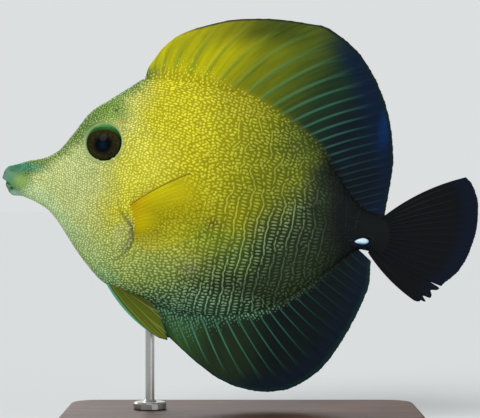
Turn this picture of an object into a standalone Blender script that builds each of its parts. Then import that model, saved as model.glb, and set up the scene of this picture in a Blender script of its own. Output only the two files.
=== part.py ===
"""A scopas tang, life size, held head up on a plain display stand.

Units are metres, +Z up. The fish is shaped level in its own frame: the snout tip is the
origin, +X runs to the tail and +Z to the back. An empty then tips it head up and lifts it
over the stand, whose underside is at Z = 0. Tables of an outline are in millimetres.
"""

import math

import bmesh
import bpy
import numpy as np
from mathutils import Matrix, Vector

MM = 0.001
GAP = 0.3 * MM
LEFT, RIGHT = -1, 1

# Driving dimensions of the pose and the stand
PITCH = math.radians(9.0)
SNOUT_X = -79.0 * MM
BASE_LENGTH = 118 * MM
BASE_WIDTH = 62 * MM
BASE_HEIGHT = 7 * MM
BASE_CORNER = 9 * MM
BASE_BEVEL = 0.8 * MM
FIN_CLEARANCE = 6 * MM
SNOUT_ABOVE_FIN = 71 * MM
SNOUT_Z = BASE_HEIGHT + FIN_CLEARANCE + SNOUT_ABOVE_FIN
ROD_RADIUS = 1.5 * MM
ROD_STATION = 54.3 * MM
FLANGE_RADIUS = 5.5 * MM
FLANGE_HEIGHT = 2.2 * MM
FLANGE_EDGE = 0.5 * MM
ROD_FILLET = 0.8 * MM
ROD_OVERREACH = 4 * MM

# Body outline: distance behind the snout, then height of the back and of the belly
BACK = (
    (0, 3.7), (3, 5.2), (7, 7.0), (12, 8.9), (16, 11.8), (20, 18.0), (25, 26.6), (30, 31.0),
    (36, 36.2), (41, 40.1), (50, 41.2), (60, 41.4), (70, 40.7), (80, 38.0), (92, 32.5),
    (101, 27.2), (109, 19.3), (116, 11.6), (121, 8.4), (127, 7.2),
)
BELLY = (
    (0, -3.1), (4, -4.5), (9, -5.6), (15, -7.9), (19, -11.0), (24, -16.6), (30, -23.0),
    (38, -29.4), (45, -31.9), (54, -33.9), (65, -35.6), (76, -34.9), (86, -32.5),
    (95, -28.2), (104, -20.9), (112, -12.9), (116, -8.7), (119, -5.9), (121, -5.1),
    (123.5, -5.2), (127, -6.2),
)
# Height at which the body is widest, half of that width, and how sharp its edges are
WIDEST = ((0, 0.2), (15, 1.2), (31, 3.5), (60, 3.0), (95, 1.2), (127, 0.0))
HALF_WIDTH = (
    (0, 2.1), (4, 2.8), (10, 3.8), (18, 5.4), (25, 7.0), (32, 8.6), (42, 10.2), (52, 11.0),
    (63, 11.2), (76, 10.5), (90, 8.6), (103, 6.0), (112, 4.2), (120, 2.9), (127, 1.5),
)
BACK_EDGE = ((0, 0.9), (14, 1.0), (30, 1.15), (44, 1.4), (90, 1.5), (110, 1.3), (127, 1.0))
BELLY_EDGE = ((0, 0.9), (14, 1.0), (34, 1.1), (46, 1.15), (62, 1.35), (90, 1.5), (127, 1.0))
NOSE_ROUND = 2.6 * MM
STALK_START = 112.5 * MM
BODY_END = 127 * MM
RING_POINTS = 28

# Gill opening: height, then distance behind the snout
GILL_LINE = (
    (-45, 30), (-29, 33), (-24, 38.5), (-20, 42.4), (-16, 44.6), (-12, 44.4), (-8, 42.2),
    (-3, 39.4), (3, 38.5), (9, 38.2), (20, 38.3), (32, 37.4), (48, 34),
)
COVER_TOP = 8.5 * MM
COVER_BOTTOM = -24.5 * MM
COVER_BREADTH = 9.0 * MM
COVER_HINGE_X = 38.2 * MM
COVER_THICKNESS = 1.4 * MM
COVER_RISE = 0.6 * MM

EYE_X, EYE_Z = 31.0 * MM, 16.5 * MM
EYE_RADIUS = 6.5 * MM
EYE_HALF_DEPTH = 3.5 * MM
EYE_SINK = 1.9 * MM
RIM_RADIUS = 6.35 * MM
RIM_THICKNESS = 0.7 * MM
NOSTRILS = ((21.9, 16.2, 0.42), (23.2, 18.7, 0.55))

MOUTH_CORNER = 4.6 * MM
MOUTH_Z = -2.0 * MM
MOUTH_GAP = 0.5 * MM
LIP_RADIUS = 0.6 * MM
CHIN_X = 8.5 * MM

SCALPEL_X, SCALPEL_Z = 120.6 * MM, -2.3 * MM
SCALPEL_HALF = (2.3 * MM, 0.75 * MM, 1.15 * MM)

# Fins: along the root from front to back, each root point and the tip of its ray
DORSAL_ROOT = (
    (0, 41.4), (0.1, 46.0), (0.2, 52.5), (0.3, 60.9), (0.4, 68.8), (0.5, 76.5), (0.6, 84.4),
    (0.7, 92.8), (0.8, 101.3), (0.9, 109.3), (1, 117.2),
)
DORSAL_TIP = (
    (0, 42.6, 46.2), (0.1, 46.6, 53.3), (0.2, 55.7, 59.6), (0.3, 69.1, 64.6),
    (0.4, 80.6, 66.7), (0.5, 95.0, 66.8), (0.6, 107.4, 61.6), (0.7, 118.0, 50.1),
    (0.8, 124.5, 36.6), (0.9, 127.1, 22.9), (1, 126.0, 10.4),
)
ANAL_ROOT = (
    (0, 60.2), (0.1, 64.7), (0.2, 70.7), (0.3, 76.7), (0.4, 82.9), (0.5, 89.0), (0.6, 95.2),
    (0.7, 101.8), (0.8, 108.0), (0.9, 114.0), (1, 119.3),
)
ANAL_TIP = (
    (0, 63.3, -44.0), (0.1, 71.3, -49.8), (0.2, 81.9, -55.2), (0.3, 91.7, -57.2),
    (0.4, 101.6, -55.8), (0.5, 109.4, -51.2), (0.6, 115.9, -43.7), (0.7, 120.4, -33.8),
    (0.8, 123.6, -24.3), (0.9, 125.4, -15.4), (1, 124.7, -8.2),
)
CAUDAL_TIP = (
    (0, 151.6, 24.3), (0.06, 153.4, 23.1), (0.14, 155.4, 20.4), (0.25, 157.3, 15.8),
    (0.45, 158.1, 8.0), (0.62, 156.9, -0.4), (0.74, 154.3, -7.0), (0.85, 149.9, -12.2),
    (0.93, 146.2, -17.4), (1, 141.2, -19.1),
)
PECTORAL_TIP = (
    (0, 61.0, 11.0), (0.15, 65.7, 9.4), (0.3, 69.7, 5.3), (0.45, 70.9, -0.2),
    (0.6, 68.8, -6.0), (0.75, 63.5, -10.9), (0.9, 55.7, -14.8), (1, 50.8, -16.1),
)
PELVIC_TIP = (
    (0, 55.4, -43.9), (0.25, 58.8, -44.9), (0.5, 61.3, -44.2), (0.7, 59.6, -39.6),
    (0.85, 57.4, -36.6), (1, 54.6, -34.6),
)
DORSAL_RAYS, ANAL_RAYS, CAUDAL_RAYS, PECTORAL_RAYS, PELVIC_RAYS = 24, 20, 14, 12, 6
FIN_SINK = 3.0 * MM
CAUDAL_ROOT_HALF, CAUDAL_ROOT_SLANT = 6.2 * MM, 1.8 * MM
PECTORAL_ROOT = ((42.0 * MM, -3.5 * MM), (46.2 * MM, -13.8 * MM))
PECTORAL_SPREAD = 0.36
PECTORAL_SINK, PECTORAL_LIFT, PECTORAL_CUP = 1.8 * MM, 3.0 * MM, 1.5 * MM
PELVIC_ROOT = ((41.2 * MM, -29.6 * MM), (46.6 * MM, -30.9 * MM))
PELVIC_SPREAD = 0.16
PELVIC_SINK = 0.4 * MM
FIN_WAVE, TAIL_WAVE = 0.9 * MM, 1.2 * MM

YELLOW = (0.52, 0.50, 0.02)
OLIVE = (0.16, 0.20, 0.02)
BLUE_BLACK = (0.006, 0.016, 0.026)


# Curves and surfaces that the whole fish shares


def through(table, column=1, scale=MM, key_scale=MM):
    """A smooth function through a table's rows, which never overshoots them."""
    keys = np.array([row[0] for row in table], float) * key_scale
    values = np.array([row[column] for row in table], float) * scale
    steps, slopes = np.diff(keys), np.diff(values) / np.diff(keys)
    tangents = np.concatenate([slopes[:1], np.zeros(len(slopes) - 1), slopes[-1:]])
    same_way = slopes[:-1] * slopes[1:] > 0
    before, after = slopes[:-1][same_way], slopes[1:][same_way]
    tangents[1:-1][same_way] = 2 * before * after / (before + after)

    def value(key):
        i = np.clip(np.searchsorted(keys, key, side="right") - 1, 0, len(steps) - 1)
        t = np.clip((key - keys[i]) / steps[i], 0, 1)
        start = (1 + 2 * t) * (1 - t) ** 2 * values[i] + t**2 * (3 - 2 * t) * values[i + 1]
        bend = t * (1 - t) ** 2 * tangents[i] - t**2 * (1 - t) * tangents[i + 1]
        return start + steps[i] * bend

    return value


back, belly, widest, half_width = map(through, (BACK, BELLY, WIDEST, HALF_WIDTH))
back_edge, belly_edge = through(BACK_EDGE, scale=1), through(BELLY_EDGE, scale=1)
gill_line = through(GILL_LINE)


def smooth_step(t):
    t = np.clip(t, 0, 1)
    return t * t * (3 - 2 * t)


def nose_share(x):
    """How much of its full section the body has at x: the nose is rounded off."""
    return math.sqrt(max(0.0, 1 - max(0.0, 1 - x / NOSE_ROUND) ** 2))


def cover_front(z):
    """Front edge of the gill cover, an arc ahead of the gill opening."""
    share = np.clip((z - COVER_BOTTOM) / (COVER_TOP - COVER_BOTTOM), 0, 1)
    return COVER_HINGE_X - COVER_BREADTH * np.sqrt(np.sin(np.pi * share))


def section_point(x, angle, inflate=0.0):
    """A point of the body's skin: angle 0 is its right flank and 90 degrees its back."""
    share, middle = nose_share(x), widest(x)
    upper = math.sin(angle) > 0
    reach = (back(x) - middle if upper else middle - belly(x)) * share + inflate
    edge = back_edge(x) if upper else belly_edge(x)
    flank = abs(math.cos(angle)) ** edge * (half_width(x) * share + inflate)
    return Vector((x, math.copysign(flank, math.cos(angle)), middle + reach * math.sin(angle)))


def skin_half_width(x, z):
    """Half the body's width at a point of its side view, 0 outside its outline."""
    share, middle = nose_share(x), widest(x)
    upper = z > middle
    reach = (back(x) - middle if upper else middle - belly(x)) * share
    edge = back_edge(x) if upper else belly_edge(x)
    height = min(1.0, abs(z - middle) / max(reach, 1e-9))
    return float(half_width(x) * share * (1 - height**2) ** (edge / 2))


def skin_point(x, z, side):
    return Vector((x, side * skin_half_width(x, z), z))


def skin_normal(x, z, side, reach=2 * MM):
    """Outward direction of the skin, read from points a little ahead, behind, above and below."""
    along = skin_point(x + reach, z, side) - skin_point(x - reach, z, side)
    up = skin_point(x, z + reach, side) - skin_point(x, z - reach, side)
    return (side * up.cross(along)).normalized()


# Making and joining meshes


def add_mesh(name, verts, faces):
    mesh = bpy.data.meshes.new(name)
    mesh.from_pydata([tuple(v) for v in verts], [], faces)
    mesh.validate()
    obj = bpy.data.objects.new(name, mesh)
    bpy.context.scene.collection.objects.link(obj)
    return obj


def take_evaluated(obj):
    """Replaces the object's mesh by what its modifiers make of it."""
    bpy.context.view_layer.update()
    graph = bpy.context.evaluated_depsgraph_get()
    made = bpy.data.meshes.new_from_object(obj.evaluated_get(graph))
    obj.modifiers.clear()
    obj.data = made
    return obj


def carve(obj, other, operation="DIFFERENCE", solver="EXACT"):
    """Cuts obj by other, or keeps what they share, and removes other."""
    modifier = obj.modifiers.new("Carve", "BOOLEAN")
    modifier.operation = operation
    modifier.solver = solver
    modifier.object = other
    take_evaluated(obj)
    bpy.data.objects.remove(other)
    return obj


def join(obj, pieces):
    """One union of obj with a collection of closed pieces, which are then removed."""
    group = bpy.data.collections.new("pieces")
    bpy.context.scene.collection.children.link(group)
    for piece in pieces:
        for holder in list(piece.users_collection):
            holder.objects.unlink(piece)
        group.objects.link(piece)
    modifier = obj.modifiers.new("Join", "BOOLEAN")
    modifier.operation = "UNION"
    modifier.operand_type = "COLLECTION"
    modifier.collection = group
    take_evaluated(obj)
    for piece in pieces:
        bpy.data.objects.remove(piece)
    bpy.data.collections.remove(group)
    return obj


def keep_largest(obj):
    """Keeps the closed surface that holds the most, and drops any scrap."""
    mesh = bmesh.new()
    mesh.from_mesh(obj.data)
    bmesh.ops.remove_doubles(mesh, verts=mesh.verts, dist=0.001 * MM)
    bmesh.ops.triangulate(mesh, faces=mesh.faces)
    unseen, islands = set(mesh.faces), []
    while unseen:
        front, island = [unseen.pop()], []
        while front:
            face = front.pop()
            island.append(face)
            for edge in face.edges:
                for other in edge.link_faces:
                    if other in unseen:
                        unseen.discard(other)
                        front.append(other)
        islands.append(island)
    largest = max(islands, key=enclosed_volume)
    scraps = [face for island in islands if island is not largest for face in island]
    bmesh.ops.delete(mesh, geom=scraps, context="FACES")
    mesh.to_mesh(obj.data)
    mesh.free()
    return obj


def enclosed_volume(faces):
    total = 0.0
    for face in faces:
        a, b, c = (v.co for v in face.verts[:3])
        total += a.dot(b.cross(c)) / 6
    return total


def finish(obj, material, smooth_angle=40):
    """Names the piece's finish and shades it smooth, with its sharp edges kept."""
    obj.data.materials.clear()
    obj.data.materials.append(material)
    obj.data.shade_smooth()
    obj.data.set_sharp_from_angle(angle=math.radians(smooth_angle))
    return obj


def finish_material(name, colour, roughness, metallic=0.0, alpha=1.0):
    material = bpy.data.materials.new(name)
    material.use_nodes = True
    shader = material.node_tree.nodes["Principled BSDF"]
    shader.inputs["Base Color"].default_value = (*colour, 1)
    shader.inputs["Roughness"].default_value = roughness
    shader.inputs["Metallic"].default_value = metallic
    shader.inputs["Alpha"].default_value = alpha
    return material


def prism(name, outline, y_low, y_high):
    """A closed outline in the side view, drawn as a flat curve and given its depth along Y."""
    curve = bpy.data.curves.new(name, "CURVE")
    curve.dimensions = "2D"
    curve.fill_mode = "BOTH"
    curve.extrude = (y_high - y_low) / 2
    spline = curve.splines.new("POLY")
    spline.points.add(len(outline) - 1)
    for point, (x, z) in zip(spline.points, outline):
        point.co = (x, z, 0, 1)
    spline.use_cyclic_u = True
    drawn = bpy.data.objects.new(name, curve)
    bpy.context.scene.collection.objects.link(drawn)
    bpy.context.view_layer.update()
    graph = bpy.context.evaluated_depsgraph_get()
    made = bpy.data.meshes.new_from_object(drawn.evaluated_get(graph))
    bpy.data.objects.remove(drawn)
    upright = Matrix.Rotation(math.pi / 2, 4, "X")
    made.transform(Matrix.Translation((0, (y_low + y_high) / 2, 0)) @ upright)
    return closed_cutter(name, made)


def closed_cutter(name, made):
    """A cutter from a mesh whose caps are still loose."""
    mesh = bmesh.new()
    mesh.from_mesh(made)
    bmesh.ops.remove_doubles(mesh, verts=mesh.verts, dist=0.01 * MM)
    bmesh.ops.recalc_face_normals(mesh, faces=mesh.faces)
    mesh.to_mesh(made)
    mesh.free()
    obj = bpy.data.objects.new(name, made)
    obj.hide_render = True
    obj.display_type = "WIRE"
    bpy.context.scene.collection.objects.link(obj)
    return obj


def flank_frame(centre, facing):
    """A frame at centre: Y along facing, X as near to the fish's own length as can be."""
    along = (Vector((1, 0, 0)) - facing * facing.x).normalized()
    turn = Matrix((along, facing, along.cross(facing))).transposed().to_4x4()
    return Matrix.Translation(centre) @ turn


def ellipsoid(name, centre, radii, facing, segments=18, rings=8):
    """A ball stretched to three radii, with its middle radius along facing."""
    mesh = bmesh.new()
    bmesh.ops.create_uvsphere(mesh, u_segments=segments, v_segments=rings, radius=1)
    pole = Matrix.Rotation(math.pi / 2, 4, "X")
    place = flank_frame(centre, facing) @ Matrix.Diagonal((*radii, 1)) @ pole
    bmesh.ops.transform(mesh, matrix=place, verts=mesh.verts)
    data = bpy.data.meshes.new(name)
    mesh.to_mesh(data)
    mesh.free()
    obj = bpy.data.objects.new(name, data)
    bpy.context.scene.collection.objects.link(obj)
    return obj


# The body


def stations(x_from, x_to):
    """Where the body's sections lie: close together at the nose, then further apart."""
    found = [NOSE_ROUND * (1 - math.cos(math.radians(a))) for a in (18, 36, 54, 72, 90)]
    while found[-1] < BODY_END:
        found.append(found[-1] + (2.4 * MM if found[-1] < 46 * MM else 4.0 * MM))
    inside = [x for x in found if x_from + 0.5 * MM < x < x_to - 0.5 * MM]
    return ([x_from] if x_from > 0 else []) + inside + [x_to]


def body_loft(name, x_from, x_to, inflate=0.0, rise=0.0):
    """The closed body between two stations, lofted through its sections.

    rise lifts the skin towards the gill opening, as the gill cover does."""
    angles = [2 * math.pi * k / RING_POINTS for k in range(RING_POINTS)]
    verts, faces = [], []
    rows = stations(x_from, x_to)
    for x in rows:
        for angle in angles:
            point = section_point(x, angle, inflate)
            if rise:
                ahead = (point.x - cover_front(point.z)) / COVER_BREADTH
                point.y += math.copysign(rise * float(smooth_step(ahead)), point.y)
            verts.append(point)
    count = RING_POINTS
    for row in range(len(rows) - 1):
        for k in range(count):
            a, b = row * count + k, row * count + (k + 1) % count
            faces += [(a, b, b + count), (a, b + count, a + count)]
    first = len(verts)
    verts.append(Vector((x_from - (inflate if x_from == 0 else 0), 0, widest(x_from))))
    verts.append(Vector((x_to, 0, widest(x_to))))
    last_row = (len(rows) - 1) * count
    for k in range(count):
        after = (k + 1) % count
        faces.append((first, after, k))
        faces.append((first + 1, last_row + k, last_row + after))
    return add_mesh(name, verts, faces)


def head_region(name, offset=0.0):
    """All that lies ahead of the gill opening, moved back by offset."""
    heights = np.arange(-45, 49, 1.5) * MM
    edge = [(float(gill_line(z)) + offset, z) for z in heights]
    front = -10 * MM
    return prism(name, [(front, heights[0])] + edge + [(front, heights[-1])], -0.03, 0.03)


def cover_region(name, side, grow=0.0):
    """The gill cover's crescent in the side view, on one flank."""
    heights = np.linspace(COVER_TOP, COVER_BOTTOM, 23)
    rear = [(float(gill_line(z)) + grow, z) for z in heights]
    front = [(float(cover_front(z)) - grow, z) for z in heights[-2:0:-1]]
    outline = [(x, z + grow * (1 if z > 0 else -1)) for x, z in rear + front]
    low, high = sorted((side * 1 * MM, side * 30 * MM))
    return prism(name, outline, low, high)


def jaw_region(name, grow=0.0):
    """What lies below the mouth, from the lips back to the chin."""
    top = MOUTH_Z - MOUTH_GAP / 2 + grow
    outline = (
        (-5 * MM, top), (MOUTH_CORNER, top - 0.3 * MM), (CHIN_X + grow, -9 * MM),
        (-5 * MM, -9 * MM),
    )
    return prism(name, outline, -0.01, 0.01)


def lip(name, height):
    """A fleshy roll round the snout at one height, thinning towards the corners."""
    start = next(x for x in np.arange(0, 5, 0.02) * MM if skin_half_width(x, height) > 0)
    rest = MOUTH_CORNER - start
    reach = [start + rest * (1 - math.cos(math.radians(a))) for a in (78, 62, 46, 31, 18)]
    near = [skin_point(x, height, LEFT) for x in reach]
    nose = Vector((start, 0, height))
    path = near + [nose] + [Vector((p.x, -p.y, p.z)) for p in reversed(near)]
    curve = bpy.data.curves.new(name, "CURVE")
    curve.dimensions = "3D"
    curve.bevel_depth = LIP_RADIUS
    curve.bevel_resolution = 1
    curve.use_fill_caps = True
    spline = curve.splines.new("POLY")
    spline.points.add(len(path) - 1)
    for k, (point, place) in enumerate(zip(spline.points, path)):
        point.co = (*place, 1)
        point.radius = 0.55 + 0.45 * math.sin(math.pi * k / (len(path) - 1))
    drawn = bpy.data.objects.new(name, curve)
    bpy.context.scene.collection.objects.link(drawn)
    bpy.context.view_layer.update()
    graph = bpy.context.evaluated_depsgraph_get()
    made = bpy.data.meshes.new_from_object(drawn.evaluated_get(graph))
    bpy.data.objects.remove(drawn)
    return closed_cutter(name, made)


def orbit_rim(name, side):
    """The raised ring of skin round the eye."""
    facing = skin_normal(EYE_X, EYE_Z, side)
    bpy.ops.mesh.primitive_torus_add(
        major_radius=RIM_RADIUS, minor_radius=RIM_THICKNESS, major_segments=22, minor_segments=6
    )
    ring = bpy.context.object
    ring.name = name
    upright = Matrix.Rotation(math.pi / 2, 4, "X")
    ring.data.transform(flank_frame(skin_point(EYE_X, EYE_Z, side), facing) @ upright)
    return ring


def eyeball(name, side, grow=0.0):
    """The eye, a flattened ball set into the head along the skin's own direction."""
    facing = skin_normal(EYE_X, EYE_Z, side)
    centre = skin_point(EYE_X, EYE_Z, side) - facing * EYE_SINK
    radii = (EYE_RADIUS + grow, EYE_HALF_DEPTH + grow, EYE_RADIUS + grow)
    return ellipsoid(name, centre, radii, facing)


def scalpel(name, side, grow=0.0):
    """The white blade folded along the tail stalk, its point towards the head."""
    facing = skin_normal(SCALPEL_X, SCALPEL_Z, side)
    radii = [half + grow for half in SCALPEL_HALF]
    blade = ellipsoid(name, Vector((0, 0, 0)), radii, facing, 12, 6)
    for vert in blade.data.vertices:
        ahead = max(0.0, -vert.co.x / radii[0])
        vert.co.z *= 1 - 0.45 * ahead
    blade.data.transform(Matrix.Translation(skin_point(SCALPEL_X, SCALPEL_Z, side)))
    return blade


def make_head():
    """The head, with its lips, orbits, nostrils and the pockets of the gill covers."""
    head = carve(body_loft("head", 0, 60 * MM), head_region("ahead"), "INTERSECT")
    carve(head, jaw_region("below_mouth", GAP))
    rims = [orbit_rim("rim", side) for side in (LEFT, RIGHT)]
    join(head, [lip("lip", MOUTH_Z + MOUTH_GAP / 2 + LIP_RADIUS), *rims])
    for side in (LEFT, RIGHT):
        carve(head, eyeball("socket", side, GAP))
        pocket = cover_region("pocket", side, GAP)
        carve(pocket, body_loft("core", 20 * MM, 60 * MM, -COVER_THICKNESS - GAP))
        carve(head, pocket)
        for x, z, radius in NOSTRILS:
            x, z, radius = x * MM, z * MM, radius * MM
            hole = (radius, 1.2 * MM, radius)
            facing = skin_normal(x, z, side)
            carve(head, ellipsoid("nostril", skin_point(x, z, side), hole, facing, 8, 4))
    return keep_largest(head)


def make_jaw():
    """The short lower jaw with its own lip."""
    jaw = carve(body_loft("lower_jaw", 0, 12 * MM), jaw_region("chin"), "INTERSECT")
    return keep_largest(join(jaw, [lip("lip", MOUTH_Z - MOUTH_GAP / 2 - LIP_RADIUS)]))


def make_gill_cover(name, side):
    """The plate over the gills on one side, standing proud of the flank behind it."""
    cover = body_loft(name, 20 * MM, 60 * MM, rise=COVER_RISE)
    carve(cover, cover_region("outline", side), "INTERSECT")
    carve(cover, body_loft("core", 15 * MM, 65 * MM, -COVER_THICKNESS))
    return keep_largest(cover)


def make_trunk():
    trunk = body_loft("trunk", 25 * MM, STALK_START)
    return keep_largest(carve(trunk, head_region("ahead", GAP)))


def make_tail_stalk():
    stalk = body_loft("tail_stalk", STALK_START + GAP, BODY_END)
    for side in (LEFT, RIGHT):
        carve(stalk, scalpel("sheath", side, GAP))
    return keep_largest(stalk)


# The fins


def fin_columns(rays):
    """Places along a fin's root: each ray's crest, with a foot on either side of it."""
    spacing = 1 / (rays - 1)
    columns = []
    for k in range(rays):
        middle = k * spacing
        for place, crest in ((-0.22, 0), (0, 1), (0.22, 0)):
            at = middle + place * spacing
            if 0 <= at <= 1:
                columns.append((at, crest))
    return columns


def ray_fin(name, root, tip, rays, side_shift, bow=(0.0, 0.0), rows=5, thick=(1.3, 0.5), crest=0.35):
    """A fin as one closed sheet whose rays are ridges raised in its own two faces.

    root and tip give a ray's two ends in the side view, side_shift its distance from the
    fish's middle plane, and bow how far the middles of the first and of the last ray arch
    forward, as a share of their length.
    Both faces are split into the same triangles, so that they never cross."""
    columns = fin_columns(rays)
    middle, half = [], []
    for at, is_crest in columns:
        start, end = Vector(root(at)), Vector(tip(at))
        along = end - start
        arch = Vector((along.y, -along.x)) * (bow[0] + (bow[1] - bow[0]) * at)
        for row in range(rows):
            out = row / (rows - 1)
            place = start + along * out - arch * 4 * out * (1 - out)
            middle.append(Vector((place.x, side_shift(at, out, place), place.y)))
            sheet = (thick[0] + (thick[1] - thick[0]) * out) / 2
            half.append((sheet + is_crest * crest * (1 - 0.75 * out)) * MM)
    count = len(middle)
    left = [m - Vector((0, h, 0)) for m, h in zip(middle, half)]
    right = [m + Vector((0, h, 0)) for m, h in zip(middle, half)]
    faces = []
    for c in range(len(columns) - 1):
        for r in range(rows - 1):
            a, b = c * rows + r, (c + 1) * rows + r
            for corner in ((a, b, b + 1), (a, b + 1, a + 1)):
                faces.append(corner)
                faces.append(tuple(count + v for v in reversed(corner)))
    rim = [c * rows for c in range(len(columns))]
    rim += [(len(columns) - 1) * rows + r for r in range(1, rows)]
    rim += [c * rows + rows - 1 for c in range(len(columns) - 2, -1, -1)]
    rim += [r for r in range(rows - 2, 0, -1)]
    for a, b in zip(rim, rim[1:] + rim[:1]):
        faces += [(b, a, count + a), (b, count + a, count + b)]
    obj = add_mesh(name, left + right, faces)
    if enclosed_volume_of(obj) < 0:
        obj.data.flip_normals()
    return obj


def enclosed_volume_of(obj):
    mesh = bmesh.new()
    mesh.from_mesh(obj.data)
    volume = mesh.calc_volume(signed=True)
    mesh.free()
    return volume


def table_point(table):
    across = through(table, 1, key_scale=1)
    up = through(table, 2, key_scale=1)
    return lambda at: (float(across(at)), float(up(at)))


def body_allowance(name):
    """The body from gill opening to tail, grown by the gap that its fins keep from it."""
    return body_loft(name, 24 * MM, BODY_END + GAP, GAP)


def make_dorsal_fin():
    station = through(DORSAL_ROOT, key_scale=1)

    def root(at):
        x = float(station(at))
        return x, float(back(x)) - FIN_SINK

    def wave(at, out, place):
        return FIN_WAVE * math.sin(2 * math.pi * (1.3 * at + 0.1)) * out**2

    fin = ray_fin("dorsal_fin", root, table_point(DORSAL_TIP), DORSAL_RAYS, wave, (0.07, 0.07))
    return keep_largest(carve(fin, body_allowance("flank")))


def make_anal_fin():
    station = through(ANAL_ROOT, key_scale=1)

    def root(at):
        x = float(station(at))
        return x, float(belly(x)) + FIN_SINK

    def wave(at, out, place):
        return -FIN_WAVE * math.sin(2 * math.pi * (1.2 * at + 0.1)) * out**2

    fin = ray_fin("anal_fin", root, table_point(ANAL_TIP), ANAL_RAYS, wave, (-0.05, -0.05))
    return keep_largest(carve(fin, body_allowance("flank")))


def make_caudal_fin():
    def root(at):
        x = BODY_END - 1.2 * MM - CAUDAL_ROOT_SLANT * at * at
        return x, CAUDAL_ROOT_HALF * (1 - 2 * at)

    def wave(at, out, place):
        return TAIL_WAVE * math.sin(math.pi * (at - 0.1)) * out**2

    fin = ray_fin(
        "caudal_fin", root, table_point(CAUDAL_TIP), CAUDAL_RAYS, wave, (0.055, -0.08), 6, (1.5, 0.5)
    )
    return keep_largest(carve(fin, body_allowance("flank")))


def make_pectoral_fin(name, side):
    upper, lower = (Vector(p) for p in PECTORAL_ROOT)
    skin = skin_half_width(44 * MM, -8 * MM)

    def root(at):
        place = upper.lerp(lower, at)
        return place.x, place.y

    def spread(at, out, place):
        start = upper.lerp(lower, at)
        reach = (Vector((place.x, place.y)) - start).length
        cup = PECTORAL_CUP * math.sin(math.pi * at) * out
        lift = PECTORAL_LIFT * smooth_step(out * 3) - PECTORAL_SINK
        return side * (skin + lift + PECTORAL_SPREAD * reach + cup)

    fin = ray_fin(
        name, root, table_point(PECTORAL_TIP), PECTORAL_RAYS, spread, (0.04, 0.04), 6, (1.0, 0.5), 0.25
    )
    return keep_largest(carve(fin, body_allowance("flank")))


def make_pelvic_fin(name, side):
    front, rear = (Vector(p) for p in PELVIC_ROOT)

    def root(at):
        place = front.lerp(rear, at)
        return place.x, place.y

    def spread(at, out, place):
        start = front.lerp(rear, at)
        reach = (Vector((place.x, place.y)) - start).length
        skin = skin_half_width(start.x, start.y)
        return side * (skin - PELVIC_SINK + PELVIC_SPREAD * reach)

    fin = ray_fin(
        name, root, table_point(PELVIC_TIP), PELVIC_RAYS, spread, (0.0, 0.0), 5, (1.2, 0.5), 0.35
    )
    carve(fin, body_loft("throat", 20 * MM, BODY_END, GAP))
    return keep_largest(fin)


# The stand


def make_base():
    """A flat plate with round corners and a small bevel, on the floor."""
    bpy.ops.mesh.primitive_cube_add(size=1)
    base = bpy.context.object
    base.name = "stand_base"
    stretch = Matrix.Diagonal((BASE_LENGTH, BASE_WIDTH, BASE_HEIGHT, 1))
    base.data.transform(Matrix.Translation((0, 0, BASE_HEIGHT / 2)) @ stretch)
    plate = bmesh.new()
    plate.from_mesh(base.data)
    uprights = [e for e in plate.edges if abs(e.verts[0].co.z - e.verts[1].co.z) > BASE_HEIGHT / 2]
    bmesh.ops.bevel(plate, geom=uprights, offset=BASE_CORNER, segments=5, affect="EDGES",
                    profile=0.5)
    plate.to_mesh(base.data)
    plate.free()
    soft = base.modifiers.new("Soft edge", "BEVEL")
    soft.width = BASE_BEVEL
    soft.segments = 2
    soft.limit_method = "ANGLE"
    return take_evaluated(base)


def make_rod(fish):
    """A turned rod with a round foot, its top shaped to the belly that it carries."""
    turn = Matrix.Rotation(PITCH, 4, "Y")
    under = turn @ Vector((ROD_STATION, 0, float(belly(ROD_STATION))))
    x = SNOUT_X + under.x
    top = SNOUT_Z + under.z + ROD_OVERREACH
    foot = BASE_HEIGHT + GAP
    shoulder = foot + FLANGE_HEIGHT
    profile = (
        (0, top), (ROD_RADIUS, top), (ROD_RADIUS, shoulder + ROD_FILLET),
        (ROD_RADIUS + ROD_FILLET, shoulder), (FLANGE_RADIUS - FLANGE_EDGE, shoulder),
        (FLANGE_RADIUS, shoulder - FLANGE_EDGE), (FLANGE_RADIUS, foot), (0, foot),
    )
    lines = [(k, k + 1) for k in range(len(profile) - 1)]
    mesh = bpy.data.meshes.new("stand_rod")
    mesh.from_pydata([(r, 0, z) for r, z in profile], lines, [])
    rod = bpy.data.objects.new("stand_rod", mesh)
    bpy.context.scene.collection.objects.link(rod)
    rod.location = (x, 0, 0)
    screw = rod.modifiers.new("Turn", "SCREW")
    screw.steps = screw.render_steps = 18
    screw.use_merge_vertices = True
    screw.merge_threshold = 0.01 * MM
    take_evaluated(rod)
    belly_cutter = body_loft("belly", 24 * MM, BODY_END, GAP)
    belly_cutter.parent = fish
    carve(rod, belly_cutter)
    return keep_largest(rod)


# Putting it together


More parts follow.
